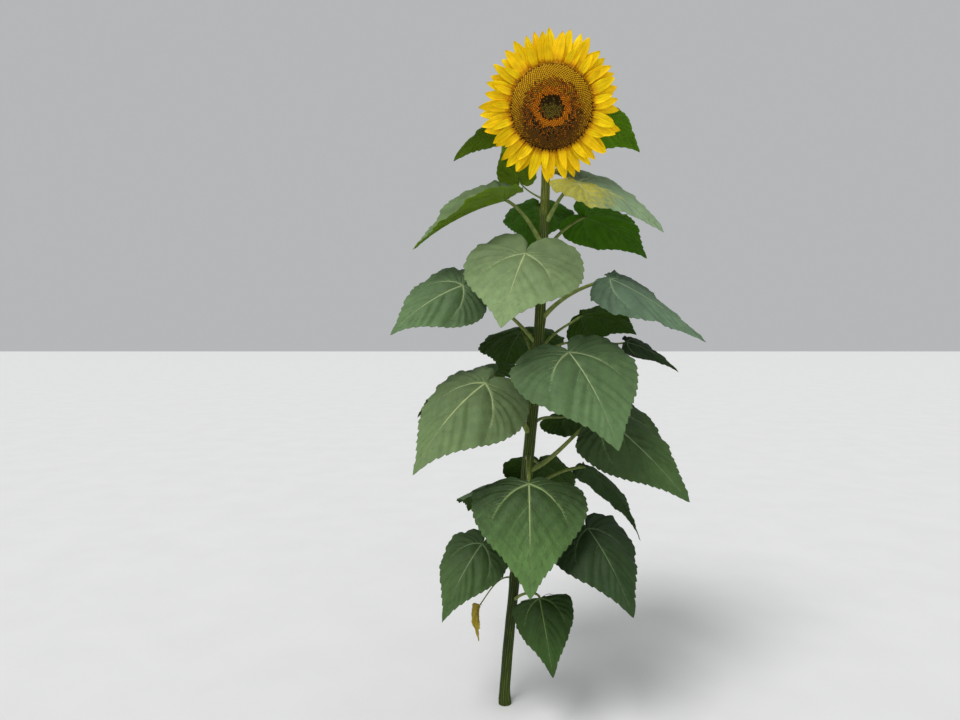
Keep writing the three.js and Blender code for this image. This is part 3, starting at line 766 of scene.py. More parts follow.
# Veins of one side of the blade: the share of the midrib where each leaves, the angle it leaves at,
# the angle off the midrib where it meets the margin, and its width against the midrib's.
SIDE_VEINS = [
    (0.00, 74, 38, 0.78), (0.00, 120, 118, 0.42), (0.20, 44, 22, 0.40), (0.34, 42, 14.5, 0.36),
    (0.48, 40, 9.5, 0.32), (0.61, 38, 6, 0.28), (0.73, 36, 3.6, 0.25),
]
# Veins that leave the lowest one on its outer side: the share of its run, and where they end.
BRANCH_VEINS = [(0.10, 96, 0.36), (0.24, 78, 0.36), (0.40, 64, 0.34), (0.57, 53, 0.3), (0.74, 45, 0.26)]
MIDRIB_REACH = 0.975
MIDRIB_WIDTH = 2.9
MIDRIB_TAPER = 0.2
VEIN_TAPER = 0.25
# Shares of their run over which veins are strong and pale.
MIDRIB_STRONG = 0.92
LOWEST_STRONG = 0.8
SIDE_STRONG = 0.3
BRANCH_STRONG = 0.18
# Points on each kind of vein, and how uneven the side veins and their branches are.
MIDRIB_STEPS = 32
SIDE_STEPS = 22
BRANCH_STEPS = 14
TWIG_STEPS = 6
SIDE_UNEVEN = 0.06
BRANCH_UNEVEN = 0.04
# Twigs: the shares of a vein's run where they leave, their reach, how uneven it is, and their limit.
TWIG_VEINS = (0.3, 0.52, 0.74)
TWIG_WIDTH = 0.6
TWIG_REACH = 0.085
TWIG_UNEVEN = 0.35
TWIG_INSIDE = 0.93


def margin_point(leaf, degrees, share=0.96):
    """The point near the margin at an angle off the midrib."""
    along, across = leaf_plane(leaf, np.array(radians(degrees)), share)
    return np.array([float(along), float(across)])


def heading_of(degrees):
    return np.array([math.cos(radians(degrees)), math.sin(radians(degrees))])


def closer(path):
    """The path again with points a few millimetres apart."""
    run = np.concatenate([[0], np.cumsum(np.hypot(*np.diff(path, axis=0).T))])
    spots = np.linspace(0, run[-1], 2 + int(run[-1] / NETWORK_STEP))
    return np.stack([np.interp(spots, run, path[:, 0]), np.interp(spots, run, path[:, 1])], axis=-1)


def grow_veins(leaf):
    """The blade's veins as paths on the flat blade: the main ones, then the twigs between them."""
    length, seed = leaf.length, leaf.seed
    veins, twigs = [], []

    def add(path, width, end, strong):
        veins.append(Record(path=path, width=MIDRIB_WIDTH * leaf.size * width, end=end, strong=strong))
        return path

    tip = np.array([length * MIDRIB_REACH, 0])
    add(vein_curve(np.zeros(2), heading_of(0), tip, MIDRIB_STEPS), 1, MIDRIB_TAPER, MIDRIB_STRONG)
    for side in (1, -1):
        sides = []
        for i, (place, leave, meets, width) in enumerate(SIDE_VEINS):
            uneven = 1 + SIDE_UNEVEN * wobble(i + 20 * side, seed)
            start = np.array([length * place * uneven, 0])
            end = margin_point(leaf, side * meets * uneven)
            path = vein_curve(start, heading_of(side * leave), end, SIDE_STEPS)
            sides.append(add(path, width, VEIN_TAPER, SIDE_STRONG if i else LOWEST_STRONG))
        lowest = sides[0]
        for i, (place, meets, width) in enumerate(BRANCH_VEINS):
            spot = int(place * (SIDE_STEPS - 1))
            run = unit(lowest[spot + 1] - lowest[spot])
            end = margin_point(leaf, side * meets * (1 + BRANCH_UNEVEN * wobble(i + 60 * side, seed)))
            path = vein_curve(lowest[spot], unit(run * 0.6 + beside(run) * side * 0.8), end, BRANCH_STEPS)
            add(path, width, VEIN_TAPER, BRANCH_STRONG)
    for number, vein in enumerate(veins[1:]):
        path = vein.path
        for k, place in enumerate(TWIG_VEINS):
            spot = min(int(place * len(path)), len(path) - 2)
            run = unit(path[spot + 1] - path[spot])
            out = beside(run) * (1 if (k + number) % 2 else -1)
            reach = length * TWIG_REACH * (1 + TWIG_UNEVEN * wobble(number * 7 + k, seed + 3))
            reach *= 1.1 - place * 0.6
            end = path[spot] + unit(run * 0.75 + out) * reach
            if leaf_polar(leaf, *end)[1] < TWIG_INSIDE:
                twigs.append(vein_curve(path[spot], unit(run * 0.5 + out), end, TWIG_STEPS))
    return veins, twigs


BLADE_HALF = 0.55
# Turns a quad over so that it still splits on the same diagonal, which keeps thin sheets apart.
SAME_DIAGONAL = [2, 1, 0, 3]
TEETH = 24
LEAST_TEETH = 12
TOOTH = 0.026
TOOTH_RISE = 0.3
TOOTH_BASE = 0.6
SPOKES_PER_TOOTH = 4
RING_SHARES = np.concatenate([[0.02, 0.045], np.linspace(0.08, 0.985, 24), [1]])
# The paler strip beside a strong vein, and how much it narrows away from the stalk.
HALO = 6.5
HALO_LOSS = 0.8
# The share of the blade's length that its painted shade and light fill, and how ragged their edges are.
PAINTED_LIGHT_LENGTH = 0.72
PAINTED_LIGHT_RAGGED = 0.05
# Where the turning leaf is yellow: its reach on the near and far halves, where they meet, the fade
# beyond, and how ragged it is.
TURNED_NEAR = 0.24
TURNED_FAR = -0.30
TURNED_SIDE = 0.03
TURNED_FADE = 0.16
TURNED_RAGGED = 0.05
TURNED_PATCHY = 0.35
# Waves over the flat blade: the edges of the painted shade and light, the yellow's edges, and the patches
# within it.
PAINTED_LIGHT_WAVES = ((0.7, 0.17, -0.21, 0),)
BLOTCH_WAVES = ((1, 0.19, 0.11, 0), (1, 0.07, -0.23, 1), (0.8, 0.41, 0.37, 0))
PATCH_WAVES = ((1, 0.33, -0.52, 0), (1, 0.61, 0.47, 2))

# Outlines of a vein's ridge above, below, and of a twig: how far across and how high, as shares of how
# proud the ridge stands, or of RIDGE_DEPTH where they are under the face.
RIDGE_ABOVE = [(-1, -0.4), (-0.5, 0.8), (0.5, 0.8), (1, -0.4)]
RIDGE_BELOW = [(-1, -0.4), (-0.7, 0.6), (0, 1), (0.7, 0.6), (1, -0.4)]
RIDGE_TWIG = [(-1, -0.4), (0, 1), (1, -0.4)]
RIDGE_DEPTH = 0.8
# How a vein narrows, and how proud it stands above and below: a little, and more with its width.
VEIN_NARROWS = 1.3
PROUD_ABOVE = (0.55, 0.18)
PROUD_BELOW = (0.4, 0.9)
PROUD_TWIG = 0.45
BELOW_WIDER = 1.1
# The share of a strong vein's pale run that is palest.
PALEST = 0.62


def spoke_angles(leaf, teeth):
    """Angles of spokes that are evenly spaced along the margin, and each one's place in its tooth."""
    angle = np.linspace(0, pi, 2000)
    along, across = leaf_plane(leaf, angle, 1.0)
    run = np.concatenate([[0], np.cumsum(np.hypot(np.diff(along), np.diff(across)))])
    count = teeth * SPOKES_PER_TOOTH
    one_side = np.interp(np.linspace(0, run[-1], count + 1), run, angle)
    phase = (np.arange(count + 1) % SPOKES_PER_TOOTH) / SPOKES_PER_TOOTH
    angles = np.concatenate([one_side, -one_side[-2:0:-1]])
    phases = np.concatenate([phase, phase[-2:0:-1]])
    return angles, phases


def make_blade(leaf):
    angles, phases = spoke_angles(leaf, max(LEAST_TEETH, int(TEETH * leaf.size)))
    fade = np.clip(np.abs(angles) / 0.12, 0, 1) * np.clip((pi - np.abs(angles)) / 0.5, 0, 1)
    uneven = 0.75 + 0.5 * np.abs(np.sin(np.round(np.abs(angles) * 40) * 1.7 + leaf.seed))
    rise = np.where(phases < TOOTH_RISE, phases / TOOTH_RISE, (1 - phases) / (1 - TOOTH_RISE)) - TOOTH_BASE
    notch = TOOTH * fade * uneven * rise
    spokes = len(angles)

    share = RING_SHARES[:, None]
    along, across = leaf_plane(leaf, angles[None, :], share * (1 + notch[None, :] * share ** 12))
    lie = relief(leaf, along, across)
    half = BLADE_HALF * (1 - 0.6 * share ** 8)
    sheets = [blade_point(leaf, along, across, lie + off).reshape(-1, 3) for off in (half, -half)]
    middle = blade_point(leaf, np.zeros(2), np.zeros(2), np.array([BLADE_HALF, -BLADE_HALF]))
    top = len(sheets[0])
    faces = strip_faces(len(share), spokes)
    slots = upper_slots(leaf, face_means(along, faces), face_means(across, faces))
    around = np.arange(spokes)
    after = (around + 1) % spokes
    above, below = top - spokes, 2 * top - spokes
    rim = np.stack([above + around, above + after, below + after, below + around], axis=-1)
    shape = Shape()
    shape.add(np.concatenate([*sheets, middle]), (faces, slots), (faces[:, SAME_DIAGONAL] + top, UNDER),
              (rim, UNDER), (fan_faces(spokes, 0, 2 * top), HALO_SLOT),
              (fan_faces(spokes, top, 2 * top + 1)[:, ::-1], UNDER))
    add_veins(shape, leaf)
    name = "leaf_%02d_blade" % leaf.number
    shape.build(name + "_skin", tone_materials[leaf.tone], name)


def upper_slots(leaf, along, across):
    """Slots of the upper faces: painted shade near the stalk and painted light towards the tip, paler beside
    the strong veins, and yellow where the leaf has turned.
    """
    length = leaf.length
    ragged = np.sin(along * 0.09 + across * 0.13 + leaf.seed) + waves(along, across, PAINTED_LIGHT_WAVES)
    # Painted shade near the stalk, turning to painted light towards the tip.
    reach = (along / length + PAINTED_LIGHT_RAGGED * ragged) / PAINTED_LIGHT_LENGTH
    slots = FIRST_PAINTED_LIGHT + np.clip((reach * len(PAINTED_SHADE_TO_LIGHT)).astype(int), 0, len(PAINTED_SHADE_TO_LIGHT) - 1)
    strong = np.concatenate([vein.path[:int(len(vein.path) * vein.strong)]
                             for vein in leaf.veins if vein.strong > SIDE_STRONG])
    fading = 1 - HALO_LOSS * np.hypot(along, across) / length
    slots[vein_distance(along, across, strong) < HALO * leaf.size * fading] = HALO_SLOT
    if leaf.number == TURNING_LEAF:
        edge = np.where(across < TURNED_SIDE * length, TURNED_NEAR, TURNED_FAR)
        edge = along + length * (TURNED_RAGGED * waves(along, across, BLOTCH_WAVES) - edge)
        turned = np.where(waves(along, across, PATCH_WAVES) > TURNED_PATCHY, YELLOWING, YELLOW)
        slots = np.where(edge < 0, turned, np.where(edge < TURNED_FADE * length, YELLOWING, slots))
    return slots


def add_ridge(shape, leaf, path, widths, face, outline, proud, slots):
    """A low closed ridge along a path on the upper (1) or under (-1) face of the blade."""
    out = unit(beside(np.gradient(path, axis=0)))
    across, up = np.array(outline).T
    spots = path[:, None, :] + out[:, None, :] * (widths[:, None] * across)[..., None]
    height = BLADE_HALF + np.where(up > 0, up * proud[:, None], up * RIDGE_DEPTH)
    lie = relief(leaf, spots[..., 0], spots[..., 1])
    add_loft(shape, blade_point(leaf, spots[..., 0], spots[..., 1], lie + face * height), slots)


def add_veins(shape, leaf):
    """Ridges along the veins: slim and pale above, broader and higher below."""
    for vein in leaf.veins:
        share = np.linspace(0, 1, len(vein.path))
        widths = vein.width * (vein.end + (1 - vein.end) * (1 - share) ** VEIN_NARROWS)
        slots = np.where(share[1:] < vein.strong, VEIN_END, RIB)
        if vein.strong > SIDE_STRONG:
            slots = np.where(share[1:] < vein.strong * PALEST, VEIN, slots)
        add_ridge(shape, leaf, vein.path, widths, 1, RIDGE_ABOVE, line(PROUD_ABOVE, widths), slots)
        add_ridge(shape, leaf, vein.path, widths * BELOW_WIDER, -1, RIDGE_BELOW,
                  line(PROUD_BELOW, widths), UNDER_VEIN)
    for path in leaf.twigs:
        widths = np.linspace(TWIG_WIDTH, TWIG_WIDTH * 0.4, len(path))
        add_ridge(shape, leaf, path, widths, 1, RIDGE_TWIG, np.full(len(path), PROUD_TWIG), RIB)


def stalk_line(leaf, share):
    """Points on the stalk's middle line, and its direction."""
    a, b, c, d = leaf.handles
    t = np.asarray(share, dtype=float)[..., None]
    points = a * (1 - t) ** 3 + 3 * b * t * (1 - t) ** 2 + 3 * c * t ** 2 * (1 - t) + d * t ** 3
    along = 3 * ((b - a) * (1 - t) ** 2 + 2 * (c - b) * t * (1 - t) + (d - c) * t ** 2)
    return points, unit(along)


STALK_RINGS = 40
STALK_SIDES = 16
STALK_RIBS = 9
STALK_RIB = 0.04
CHANNEL_DEPTH = 0.24
CHANNEL_WIDTH = 0.5
# Rings at the blade's end of a stalk that are cut back to the blade's face.
CUT_RINGS = 6
DRY_CRISP = 2.2


def stalk_surface(leaf, share, angle):
    """Points on the stalk's skin, with a shallow channel along its upper side."""
    points, along = stalk_line(leaf, share)
    side = unit(np.cross(along, UP))
    radius = leaf.size * (STALK_RADIUS + STALK_FLARE * (1 - share) ** 3 - STALK_TAPER * share)
    radius = radius * (1 + STALK_RIB * np.cos(STALK_RIBS * angle)
                       - CHANNEL_DEPTH * bell(angle - pi / 2, CHANNEL_WIDTH))
    outward = side * np.cos(angle)[..., None] + np.cross(side, along) * np.sin(angle)[..., None]
    return points + outward * radius[..., None], outward, along


def make_stalk(leaf):
    shape = Shape()
    share, angle = limb_grid(STALK_RINGS, STALK_SIDES)
    points, _, _ = stalk_surface(leaf, share, np.angle(np.exp(1j * (pi - angle))))
    _, along = stalk_line(leaf, np.array([1.0]))
    over = (points[-CUT_RINGS:] - leaf.base) @ leaf.normal + BLADE_HALF
    points[-CUT_RINGS:] -= (np.maximum(over, 0) / (along @ leaf.normal))[..., None] * along[0]
    add_loft(shape, points)
    name = "leaf_%02d_stalk" % leaf.number
    shape.build(name + "_skin", [stalk_skin], name)


def plan_leaf(row, number):
    leaf = Record(**dict(zip(LEAF_KEYS, row)), number=number, seed=number * 3.0)
    leaf.crisp = DRY_CRISP if leaf.tone == "dry" else 1.0
    leaf.size = leaf.length / STALK_LEAF
    leaf.stretch = leaf.width / leaf.length / OUTLINE_WIDTH
    share = stem_share(leaf.height)
    outward = level_way(radians(leaf.turn))
    middle = stem_point(share)
    leaf.base = middle + outward * leaf.reach + UP * leaf.lift
    root, ahead, above = blade_point(leaf, *np.array([(0, 0, 0), (1, 0, 0), (0, 0, 1)], dtype=float).T)
    leaf.normal = unit(above - root)
    angle = radians(STALK_ANGLE)
    arriving = unit(ahead - root) * math.cos(angle) + leaf.normal * math.sin(angle)
    rise = radians(leaf.rise)
    leaving = outward * math.cos(rise) + UP * math.sin(rise)
    start = middle + outward * float(stem_radius(share)) * STALK_DEPTH
    leaf.span = float(np.linalg.norm(leaf.base - start))
    leaf.handles = (start, start + leaving * leaf.span * STALK_LEAVES,
                    leaf.base - arriving * leaf.span * STALK_ARRIVES, leaf.base)
    leaf.veins, leaf.twigs = grow_veins(leaf)
    leaf.network = np.concatenate([closer(vein.path) for vein in leaf.veins])
    return leaf


# Flower head.

def tongue_point(tongue, shape, share, across, above):
    """Points on a petal or bract, in the head's frame: share from root to tip, across from -1 to 1."""
    first = radians(tongue.tilt)
    last = radians(tongue.tilt + tongue.bend)
    walk, climb, slope = arc(share * tongue.length, first, last, tongue.length)
    root, flare, point = shape
    half = tongue.width / 2 * (root + flare * share) * np.maximum(1 - share, 0) ** point
    lean = radians(tongue.twist) * share
    flat = across * half
    sideways = tongue.sweep * share ** 2 - flat * np.cos(lean) - above * np.sin(lean)
    up = tongue.height + climb + above * np.cos(lean) * np.cos(slope) - flat * np.sin(lean)
    out = tongue.root + walk - above * np.sin(slope)
    cos, sin = math.cos(tongue.angle), math.sin(tongue.angle)
    return np.stack([cos * out - sin * sideways, sin * out + cos * sideways, up], axis=-1)


# What varies from one tongue of a row to the next, in the order of the source's draws.
VARIED = ("turn", "length", "width", "tilt", "bend", "sweep", "height", "twist")


def plan_row(row, uneven, salt):
    """The tongues of one row, each a little different from the next, as in the source."""
    tongues = []
    for i in range(row.count):
        more = Record(**{key: uneven[key] * wobble(i, salt + 1 + n) for n, key in enumerate(VARIED)})
        tongues.append(Record(
            angle=radians(row.start + 360 * i / row.count + more.turn), root=row.root,
            length=row.length * (1 + more.length), width=row.width * (1 + more.width),
            tilt=row.tilt + more.tilt, bend=row.bend + more.bend, height=row.height + more.height,
            sweep=more.sweep, twist=more.twist, seed=i + salt))
    return tongues


TONGUE_END = 0.995


def tongue_grid(steps, columns):
    """Shares of the way to the tip, and places from -1 to 1 across, for the points of a tongue."""
    return np.linspace(0, TONGUE_END, steps)[:, None], np.linspace(-1, 1, columns)[None, :]


def tongue_rings(tongue, outline, share, across, face, thick):
    """Rings round a tongue, along its front and back again along its back."""
    top, back = (tongue_point(tongue, outline, share, across, face + off) for off in (thick, -thick))
    return on_head(np.concatenate([top, back[:, ::-1]], axis=1))


# The petals' outline here comes to a sharper point than in the source, within its reach.
PETAL_SHAPE = (0.66, 1.9, 0.85)
PETAL_STEPS = 26
PETAL_COLUMNS = 15
PETAL_THICK = 0.42
# Short petals that stand a little forward of the two rows.
INNER_ROW = Record(count=17, start=9, root=133, length=72, width=26, height=-5, tilt=16, bend=-8)
# A petal's two grooves: their depth, place and width across, the column and the shares that they colour with
# painted shade.
GROOVE_DEPTH = 0.8
GROOVE_AT = 0.36
GROOVE_WIDTH = 0.12
GROOVE_COLUMN = 2.5
GROOVE_FROM = 0.1
GROOVE_TO = 0.8
# Shares of a petal that are orange and amber at its root, partly its own colour and partly painted shadow,
# and the waves of their edges by its columns.
ORANGE_TO = 0.11
AMBER_TO = 0.24
PETAL_STREAKS = ((0.05, 2.3, 1, 0), (0.03, 5.1, 2, 0))


def add_petal(shape, petal, main):
    """A thin petal with two deep grooves and finer ones between, its sides a little raised."""
    share, across = tongue_grid(PETAL_STEPS, PETAL_COLUMNS)
    seed = petal.seed
    grooves = -GROOVE_DEPTH * bell(np.abs(across) - GROOVE_AT, GROOVE_WIDTH) + 0.25 * np.cos(across * 14)
    cup = 3.0 * (across ** 2 - 0.3) * (1 - 0.4 * share)
    curl = 3.5 * math.sin(seed * 1.9) * share ** 2 * across + 1.2 * np.sin(9 * share + seed) * across ** 2
    face = grooves * np.sin(pi * np.clip(share * 0.9 + 0.08, 0, 1)) + cup + curl
    thick = PETAL_THICK * (1 - 0.6 * across ** 4)
    step = np.linspace(0, 1, PETAL_STEPS - 1)[:, None]
    column = np.arange(2 * PETAL_COLUMNS)[None, :]
    middle = np.abs(np.minimum(column, column[:, ::-1]) - (PETAL_COLUMNS - 1) / 2 + 0.5)
    streak = waves(column, seed, PETAL_STREAKS)
    # Painted shade along the two grooves.
    painted_groove_shade = (np.abs(middle - GROOVE_COLUMN) < 0.6) & (step > GROOVE_FROM) & (step < GROOVE_TO)
    slots = np.where(painted_groove_shade, PETAL_SLOT["painted_groove_shade"], main)
    # Orange and amber at the root: partly the petal's own colour and partly painted shadow.
    slots = np.where(step < AMBER_TO + streak + 0.06 * math.sin(seed * 2.7), PETAL_SLOT["amber"], slots)
    slots = np.where(step < ORANGE_TO + streak * 0.6, PETAL_SLOT["orange"], slots)
    add_skin(shape, tongue_rings(petal, PETAL_SHAPE, share, across, face, thick), slots.reshape(-1))


# Rings behind the florets and petals start this far from the head's axis, and have this many sides.
HEAD_INNER = DISC_RADIUS - 10
HEAD_SIDES = 96


def make_petals():
    """The petals of all rows, and the narrow collar that they stand on."""
    shape = Shape()
    mains = [PETAL_SLOT[name] for name in ("yellow", "golden", "bright")]
    for level, row in enumerate(RAY_ROWS + [INNER_ROW]):
        for i, petal in enumerate(plan_row(row, RAY_WOBBLE, level * 100)):
            add_petal(shape, petal, mains[(i * 2 + level) % 3])
    top = DISC_BACK + COLLAR_HEIGHT
    band = [(HEAD_INNER, DISC_BACK), (COLLAR_RADIUS, DISC_BACK),
            (COLLAR_RADIUS + 0.5, DISC_BACK + COLLAR_HEIGHT * 0.6),
            (COLLAR_RADIUS - 2, top), (HEAD_INNER, top)]
    faces = strip_faces(len(band) + 1, HEAD_SIDES) % (len(band) * HEAD_SIDES)
    shape.add(on_head(turned_rings(band, HEAD_SIDES)), (faces, PETAL_SLOT["orange"]))
    shape.build("ray_petals", petal_materials, "head_rays")


def turned_rings(profile, sides):
    """Rings of points round the head's axis for a profile of (radius, height) points."""
    profile = np.array(profile, dtype=float)
    angle = all_round(sides)[None, :]
    radius, height = profile[:, :1], profile[:, 1:]
    return np.stack(np.broadcast_arrays(radius * np.cos(angle), radius * np.sin(angle), height), axis=-1)


BRACT_STEPS = 18
BRACT_COLUMNS = 7
BRACT_THICK = 0.7
CUP_RINGS = 40
CUP_SIDES = 120


def make_cup():
    shape = Shape()
    front = DISC_BACK - GAP - CUP_BACK
    side = np.array([(NECK_RADIUS, 0), *CUP_SIDE, (COLLAR_RADIUS, front)], dtype=float)
    run = np.linspace(0, len(side) - 1, CUP_RINGS)
    radius, height = (np.interp(run, np.arange(len(side)), values) for values in side.T)
    add_loft(shape, on_head(turned_rings(np.stack([radius, CUP_BACK + height], axis=-1), CUP_SIDES)))
    share, across = tongue_grid(BRACT_STEPS, BRACT_COLUMNS)
    for level, row in enumerate(BRACT_ROWS):
        for bract in plan_row(row, BRACT_WOBBLE, 300 + level * 100):
            face = 1.6 * across ** 2 - 0.5 * np.cos(across * 9) + 2.5 * share ** 3 * math.sin(bract.seed)
            add_loft(shape, tongue_rings(bract, BRACT_SHAPE, share, across, face, BRACT_THICK), 1)
    shape.build("cup_and_bracts", [cup_skin, bract_skin], "head_cup")


def disc_front(radius):
    """The height of the disc's front at a distance from the head's axis."""
    share = radius / DISC_RADIUS
    dome = DISC_CROWN * (1 - share ** DISC_FLATNESS)
    return DISC_EDGE + dome - DISC_DIMPLE * bell(share, DISC_DIMPLE_SPREAD)


GOLDEN_ANGLE = radians(137.50776)
FLORETS = 1600


def floret_places():
    """Radius and angle of each floret, on the spirals of a golden-angle head."""
    number = np.arange(FLORETS) + 0.5
    return (DISC_RADIUS - 3) * np.sqrt(number / FLORETS), number * GOLDEN_ANGLE


def lathe_template(profile, sides):
    """Points and faces of a small closed turned body."""
    quads, first, last = skin_faces(len(profile), sides)
    faces = np.concatenate([quads[:, :3], quads[:, [0, 2, 3]], first, last])
    return with_middles(turned_rings(profile, sides)), faces


BUD = lathe_template([(0.8, -1.0), (1.0, 0.6), (0.72, 1.5), (0.2, 1.9)], 6)
TUBE = lathe_template([(0.7, -1.0), (0.8, 0.8), (1.05, 1.7), (0.5, 1.3)], 5)
COLUMN = lathe_template([(0.32, 0.0), (0.3, 2.2), (0.12, 2.7)], 4)


# Zones of the disc, as shares of its radius: the eye of closed buds, the ring round it, the speckled
# florets in bloom and the outer ones that have shed their pollen.
EYE_EDGE = 0.25
RING_FROM = 0.31
RING_TO = 0.46
BLOOM_TO = 0.68
FLORET_SLOPE = 0.5
FLORET_DEPTH = 0.8
BED_DEPTH = 1.6
SPIRAL_ARMS = 34
ARM_CONTRAST = 0.13
ZONE_BLUR = 0.018
BLOOM_BLUR = 0.04
BLOOM_FADE = 0.17
SIZE_UNEVEN = 0.12
# The eye's part towards the top of the disc, where its buds are painted with the shadow of the dimple's rim:
# how far out and how low it goes, and the share of the buds that are dark there and elsewhere.
SHADED_FROM = 0.13
SHADED_LOW = -0.25
SHADED_SHARE = 0.85
EYE_DARK = 0.3
RING_ORANGE = 0.78
# Values at the disc's middle, and what the foot of the disc adds to each.
# The collar's dark florets: their own colour, with more at the top as painted shadow of the dimple's rim.
COLLAR_DARK_AND_SHADE = (0.75, -0.35)
# The ring's amber florets: partly their own colour, and painted light that is strongest on its lower side.
RING_AMBER_AND_LIGHT = (0.3, -0.1)
BLOOM_PALE = (0.22, 0.12)
BLOOM_PLAIN = (0.72, 0.3)
# Outer florets darken towards the foot, partly in their own colour and partly as painted shade.
OUTER_TINT_AND_SHADE = (0.55, -0.62)
# The painted highlight on the ring's lower side, where light falls into the dimple.
RING_PAINTED_HIGHLIGHT = 0.6
# Florets in bloom darken towards the foot, partly in their own colour and partly as painted shade.
BLOOM_TINT_AND_SHADE = 0.38
OUTER_UNEVEN = 0.36
BLOOM_SHADE = 0.42
# Width and height of the florets of each kind, against their spacing.
SIZES = dict(eye=(1.05, 0.7), collar=(0.9, 1.1), amber_highlight=(1.02, 1.15), ring=(1.02, 1.1), bloom=(0.97, 0.95),
             speck=(0.9, 0.75), column=(1.0, 0.75), outer=(1.02, 0.7))
# Colours of the florets in bloom, darker towards the foot partly in their own colour and partly as painted
# shade, and the tones between which each lies.
BLOOM_TONES = [("bronze", -9.0, 0.12), ("orange", 0.12, 0.3), ("rust", 0.3, 0.62), ("brown", 0.62, 0.95),
               ("shade", 0.95, 9.0)]
# Colours of the outer florets, from the top of the disc to its foot, darker partly in their own colour and
# partly as painted shade, and the tints between which each lies.
OUTER_TINTS = [("gold", 0.72, 9.0), ("ochre", 0.46, 0.72), ("bronze", 0.24, 0.46), ("sepia", 0.06, 0.24),
               ("brown", -9.0, 0.06)]


def make_disc():
    """The bed, and on it the florets of each zone of the disc."""
    rng = np.random.default_rng(5)
    shape = Shape()
    bed = [(HEAD_INNER, DISC_BACK), (HEAD_INNER, DISC_BACK + COLLAR_HEIGHT + 1)]
    bed += [(r, float(disc_front(r)) - BED_DEPTH) for r in np.linspace(DISC_RADIUS, 3, 40)]
    add_loft(shape, on_head(turned_rings(bed, HEAD_SIDES)), FLORET_SLOT["bed"])
    radius, angle = floret_places()
    slope = (disc_front(radius + FLORET_SLOPE) - disc_front(radius - FLORET_SLOPE))[:, None]
    out = level_way(angle)
    places = on_head(out * radius[:, None] + UP * disc_front(radius)[:, None] - UP * FLORET_DEPTH)
    frames = HEAD_FRAME @ frames_along(UP - out * slope, angle)
    draw, pick = rng.uniform(size=(2, FLORETS))
    share = radius / DISC_RADIUS + rng.normal(0, ZONE_BLUR, FLORETS)
    low = -np.sin(angle)
    spacing = DISC_RADIUS * math.sqrt(pi / FLORETS) / 2

    def put(chosen, template, colour, kind):
        wide, tall = SIZES[kind]
        stamp(shape, template, places[chosen], frames[chosen] * np.array([wide, wide, tall]),
              spacing * (1 + SIZE_UNEVEN * (pick[chosen] - 0.5)), FLORET_SLOT[colour])

    eye = share < EYE_EDGE
    # Painted shadow of the dimple's rim on the top of the eye.
    shaded = eye & (share > SHADED_FROM) & (low < SHADED_LOW) & (draw < SHADED_SHARE)
    dark = draw < EYE_DARK
    put(shaded, BUD, "shade", "eye")
    put(eye & dark & ~shaded, BUD, "umber", "eye")
    put(eye & ~dark & ~shaded, BUD, "olive", "eye")
    collar = (share >= EYE_EDGE) & (share < RING_FROM)
    # Dark collar florets: their own dark colour, with more towards the top as painted shadow of the dimple's
    # rim.
    dark = draw < line(COLLAR_DARK_AND_SHADE, low)
    put(collar & dark, BUD, "shade", "collar")
    put(collar & ~dark, BUD, "rust", "collar")
    ring = (share >= RING_FROM) & (share < RING_TO)
    # Amber florets: partly their own colour, and a painted highlight on the ring's lower side.
    bright = draw < line(RING_AMBER_AND_LIGHT, low) + RING_PAINTED_HIGHLIGHT * np.maximum(low - 0.1, 0)
    put(ring & bright, TUBE, "amber", "amber_highlight")
    put(ring & ~bright & (pick < RING_ORANGE), TUBE, "orange", "ring")
    put(ring & ~bright & (pick >= RING_ORANGE), TUBE, "rust", "ring")
    edge = BLOOM_TO + rng.normal(0, BLOOM_BLUR, FLORETS)
    bloom = (share >= RING_TO) & (share < edge)
    pale = bloom & (pick < line(BLOOM_PALE, low))
    put(pale, COLUMN, "speck", "speck")
    put(bloom & ~pale & (pick > line(BLOOM_PLAIN, low)), COLUMN, "orange", "column")
    # Florets in bloom darken towards the foot, partly in their own colour and partly as painted shade.
    tone = draw + BLOOM_TINT_AND_SHADE * low
    arm = ARM_CONTRAST * ((np.arange(FLORETS) % SPIRAL_ARMS) % 2 - 0.5)
    # Outer florets darken towards the foot, partly in their own colour and partly as painted shade.
    tint = line(OUTER_TINT_AND_SHADE, low) + arm + OUTER_UNEVEN * (draw - 0.5)
    tint -= BLOOM_SHADE * np.clip(1 - (share - BLOOM_TO) / BLOOM_FADE, 0, 1)
    outer = (share >= RING_TO) & ~bloom
    zones = (("bloom", bloom, tone, BLOOM_TONES), ("outer", outer, tint, OUTER_TINTS))
    for kind, zone, value, steps in zones:
        for colour, least, most in steps:
            put(zone & (value >= least) & (value < most), TUBE, colour, kind)
    add_rim_teeth(shape, rng)
    shape.build("disc_florets", floret_materials, "head_disc")


RIM_TEETH = 70
RIM_INSET = 4.5
RIM_DEPTH = 0.5
RIM_LIFT = 0.34
RIM_TOOTH = (5.0, 1.6, 15.5)


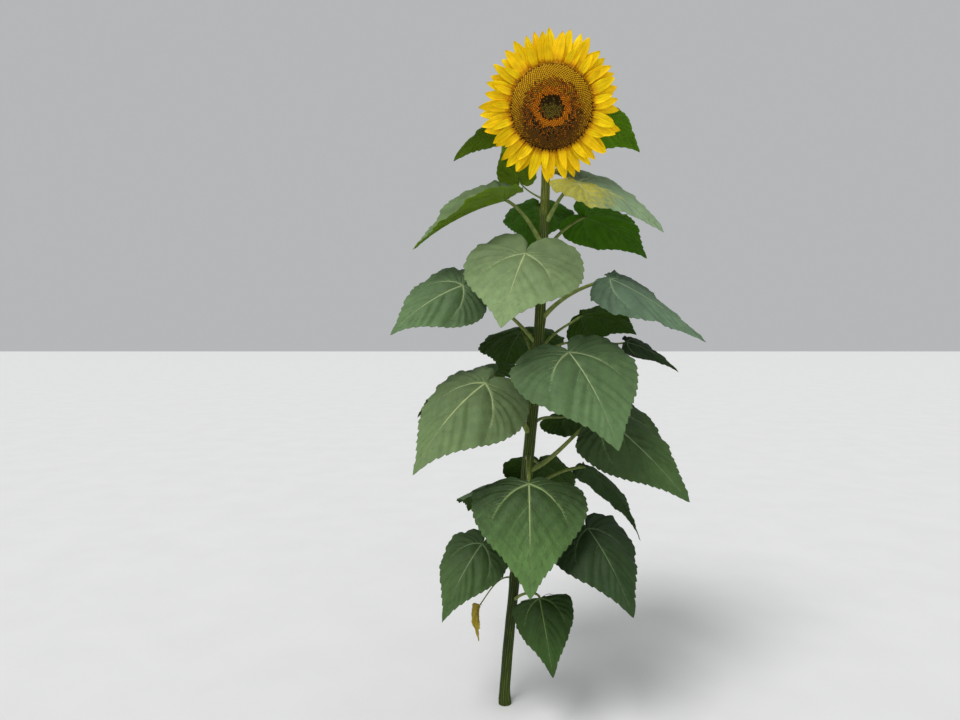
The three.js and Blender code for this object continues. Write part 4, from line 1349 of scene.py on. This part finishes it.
def add_rim_teeth(shape, rng):
    """Dark pointed scales between the disc and the petals, paler ones mostly at the top."""
    angle = all_round(RIM_TEETH) + rng.normal(0, 0.012, RIM_TEETH)
    out = level_way(angle)
    places = on_head(out * (DISC_RADIUS - RIM_INSET) + UP * (DISC_EDGE - RIM_DEPTH))
    frames = HEAD_FRAME @ frames_along(out + UP * RIM_LIFT, 0 * angle) * np.array(RIM_TOOTH)
    sizes = rng.uniform(0.7, 1.15, RIM_TEETH)
    pale = np.sin(angle) > rng.uniform(-0.2, 0.5, RIM_TEETH)
    for chosen, colour in ((pale, "sepia"), (~pale, "tooth")):
        stamp(shape, HAIR, places[chosen], frames[chosen], sizes[chosen], FLORET_SLOT[colour])


# Build.

STEM_LENGTH = float(np.linalg.norm(np.diff(stem_point(np.linspace(0, 1, 400)), axis=0), axis=1).sum())
leaves = [plan_leaf(row, i + 1) for i, row in enumerate(LEAF_ROWS)]
make_stem()
for planned in leaves:
    make_stalk(planned)
    make_blade(planned)
make_cup()
make_petals()
make_disc()
make_hairs()


# Studio.

FLOOR_HALF = 40.0
FLOOR_COLOURS = ((0.74, 0.74, 0.73), (0.76, 0.76, 0.75))
# A key light from above and in front, a weaker one low in front, and an even sky: for each lamp its
# tilt forward and aside in degrees, its softness in degrees and its strength.
LAMPS = {"soft_key": (28, -24, 26, 2.0), "soft_fill": (76, -6, 70, 0.55)}
SKY_COLOUR = (0.96, 0.98, 1.0, 1)
SKY_STRENGTH = 0.48


def make_floor():
    mesh = bpy.data.meshes.new("floor")
    corners = [(x * FLOOR_HALF, y * FLOOR_HALF, 0) for x, y in ((-1, -1), (1, -1), (1, 1), (-1, 1))]
    mesh.from_pydata(corners, [], [(0, 1, 2, 3)])
    mesh.materials.append(make_material("studio_floor", "floor", FLOOR_COLOURS))
    floor = link_object("studio_floor", mesh)


def make_studio():
    make_floor()
    for name, (forward, aside, softness, strength) in LAMPS.items():
        light = bpy.data.lights.new(name, "SUN")
        light.energy = strength
        light.angle = radians(softness)
        link_object(name, light).rotation_euler = (radians(forward), radians(aside), 0)
    world = bpy.data.worlds.new("studio")
    world.use_nodes = True
    background = world.node_tree.nodes["Background"]
    background.inputs["Color"].default_value = SKY_COLOUR
    background.inputs["Strength"].default_value = SKY_STRENGTH
    bpy.context.scene.world = world
    bpy.context.scene.view_settings.view_transform = "Standard"


def make_camera():
    camera = bpy.data.cameras.new("camera")
    camera.lens = CAMERA_LENS
    camera.sensor_width = CAMERA_SENSOR
    eye = link_object("camera", camera)
    eye.location = CAMERA_AT
    eye.rotation_euler = (radians(90 - CAMERA_DOWN), 0, 0)
    bpy.context.scene.camera = eye


make_studio()
make_camera()
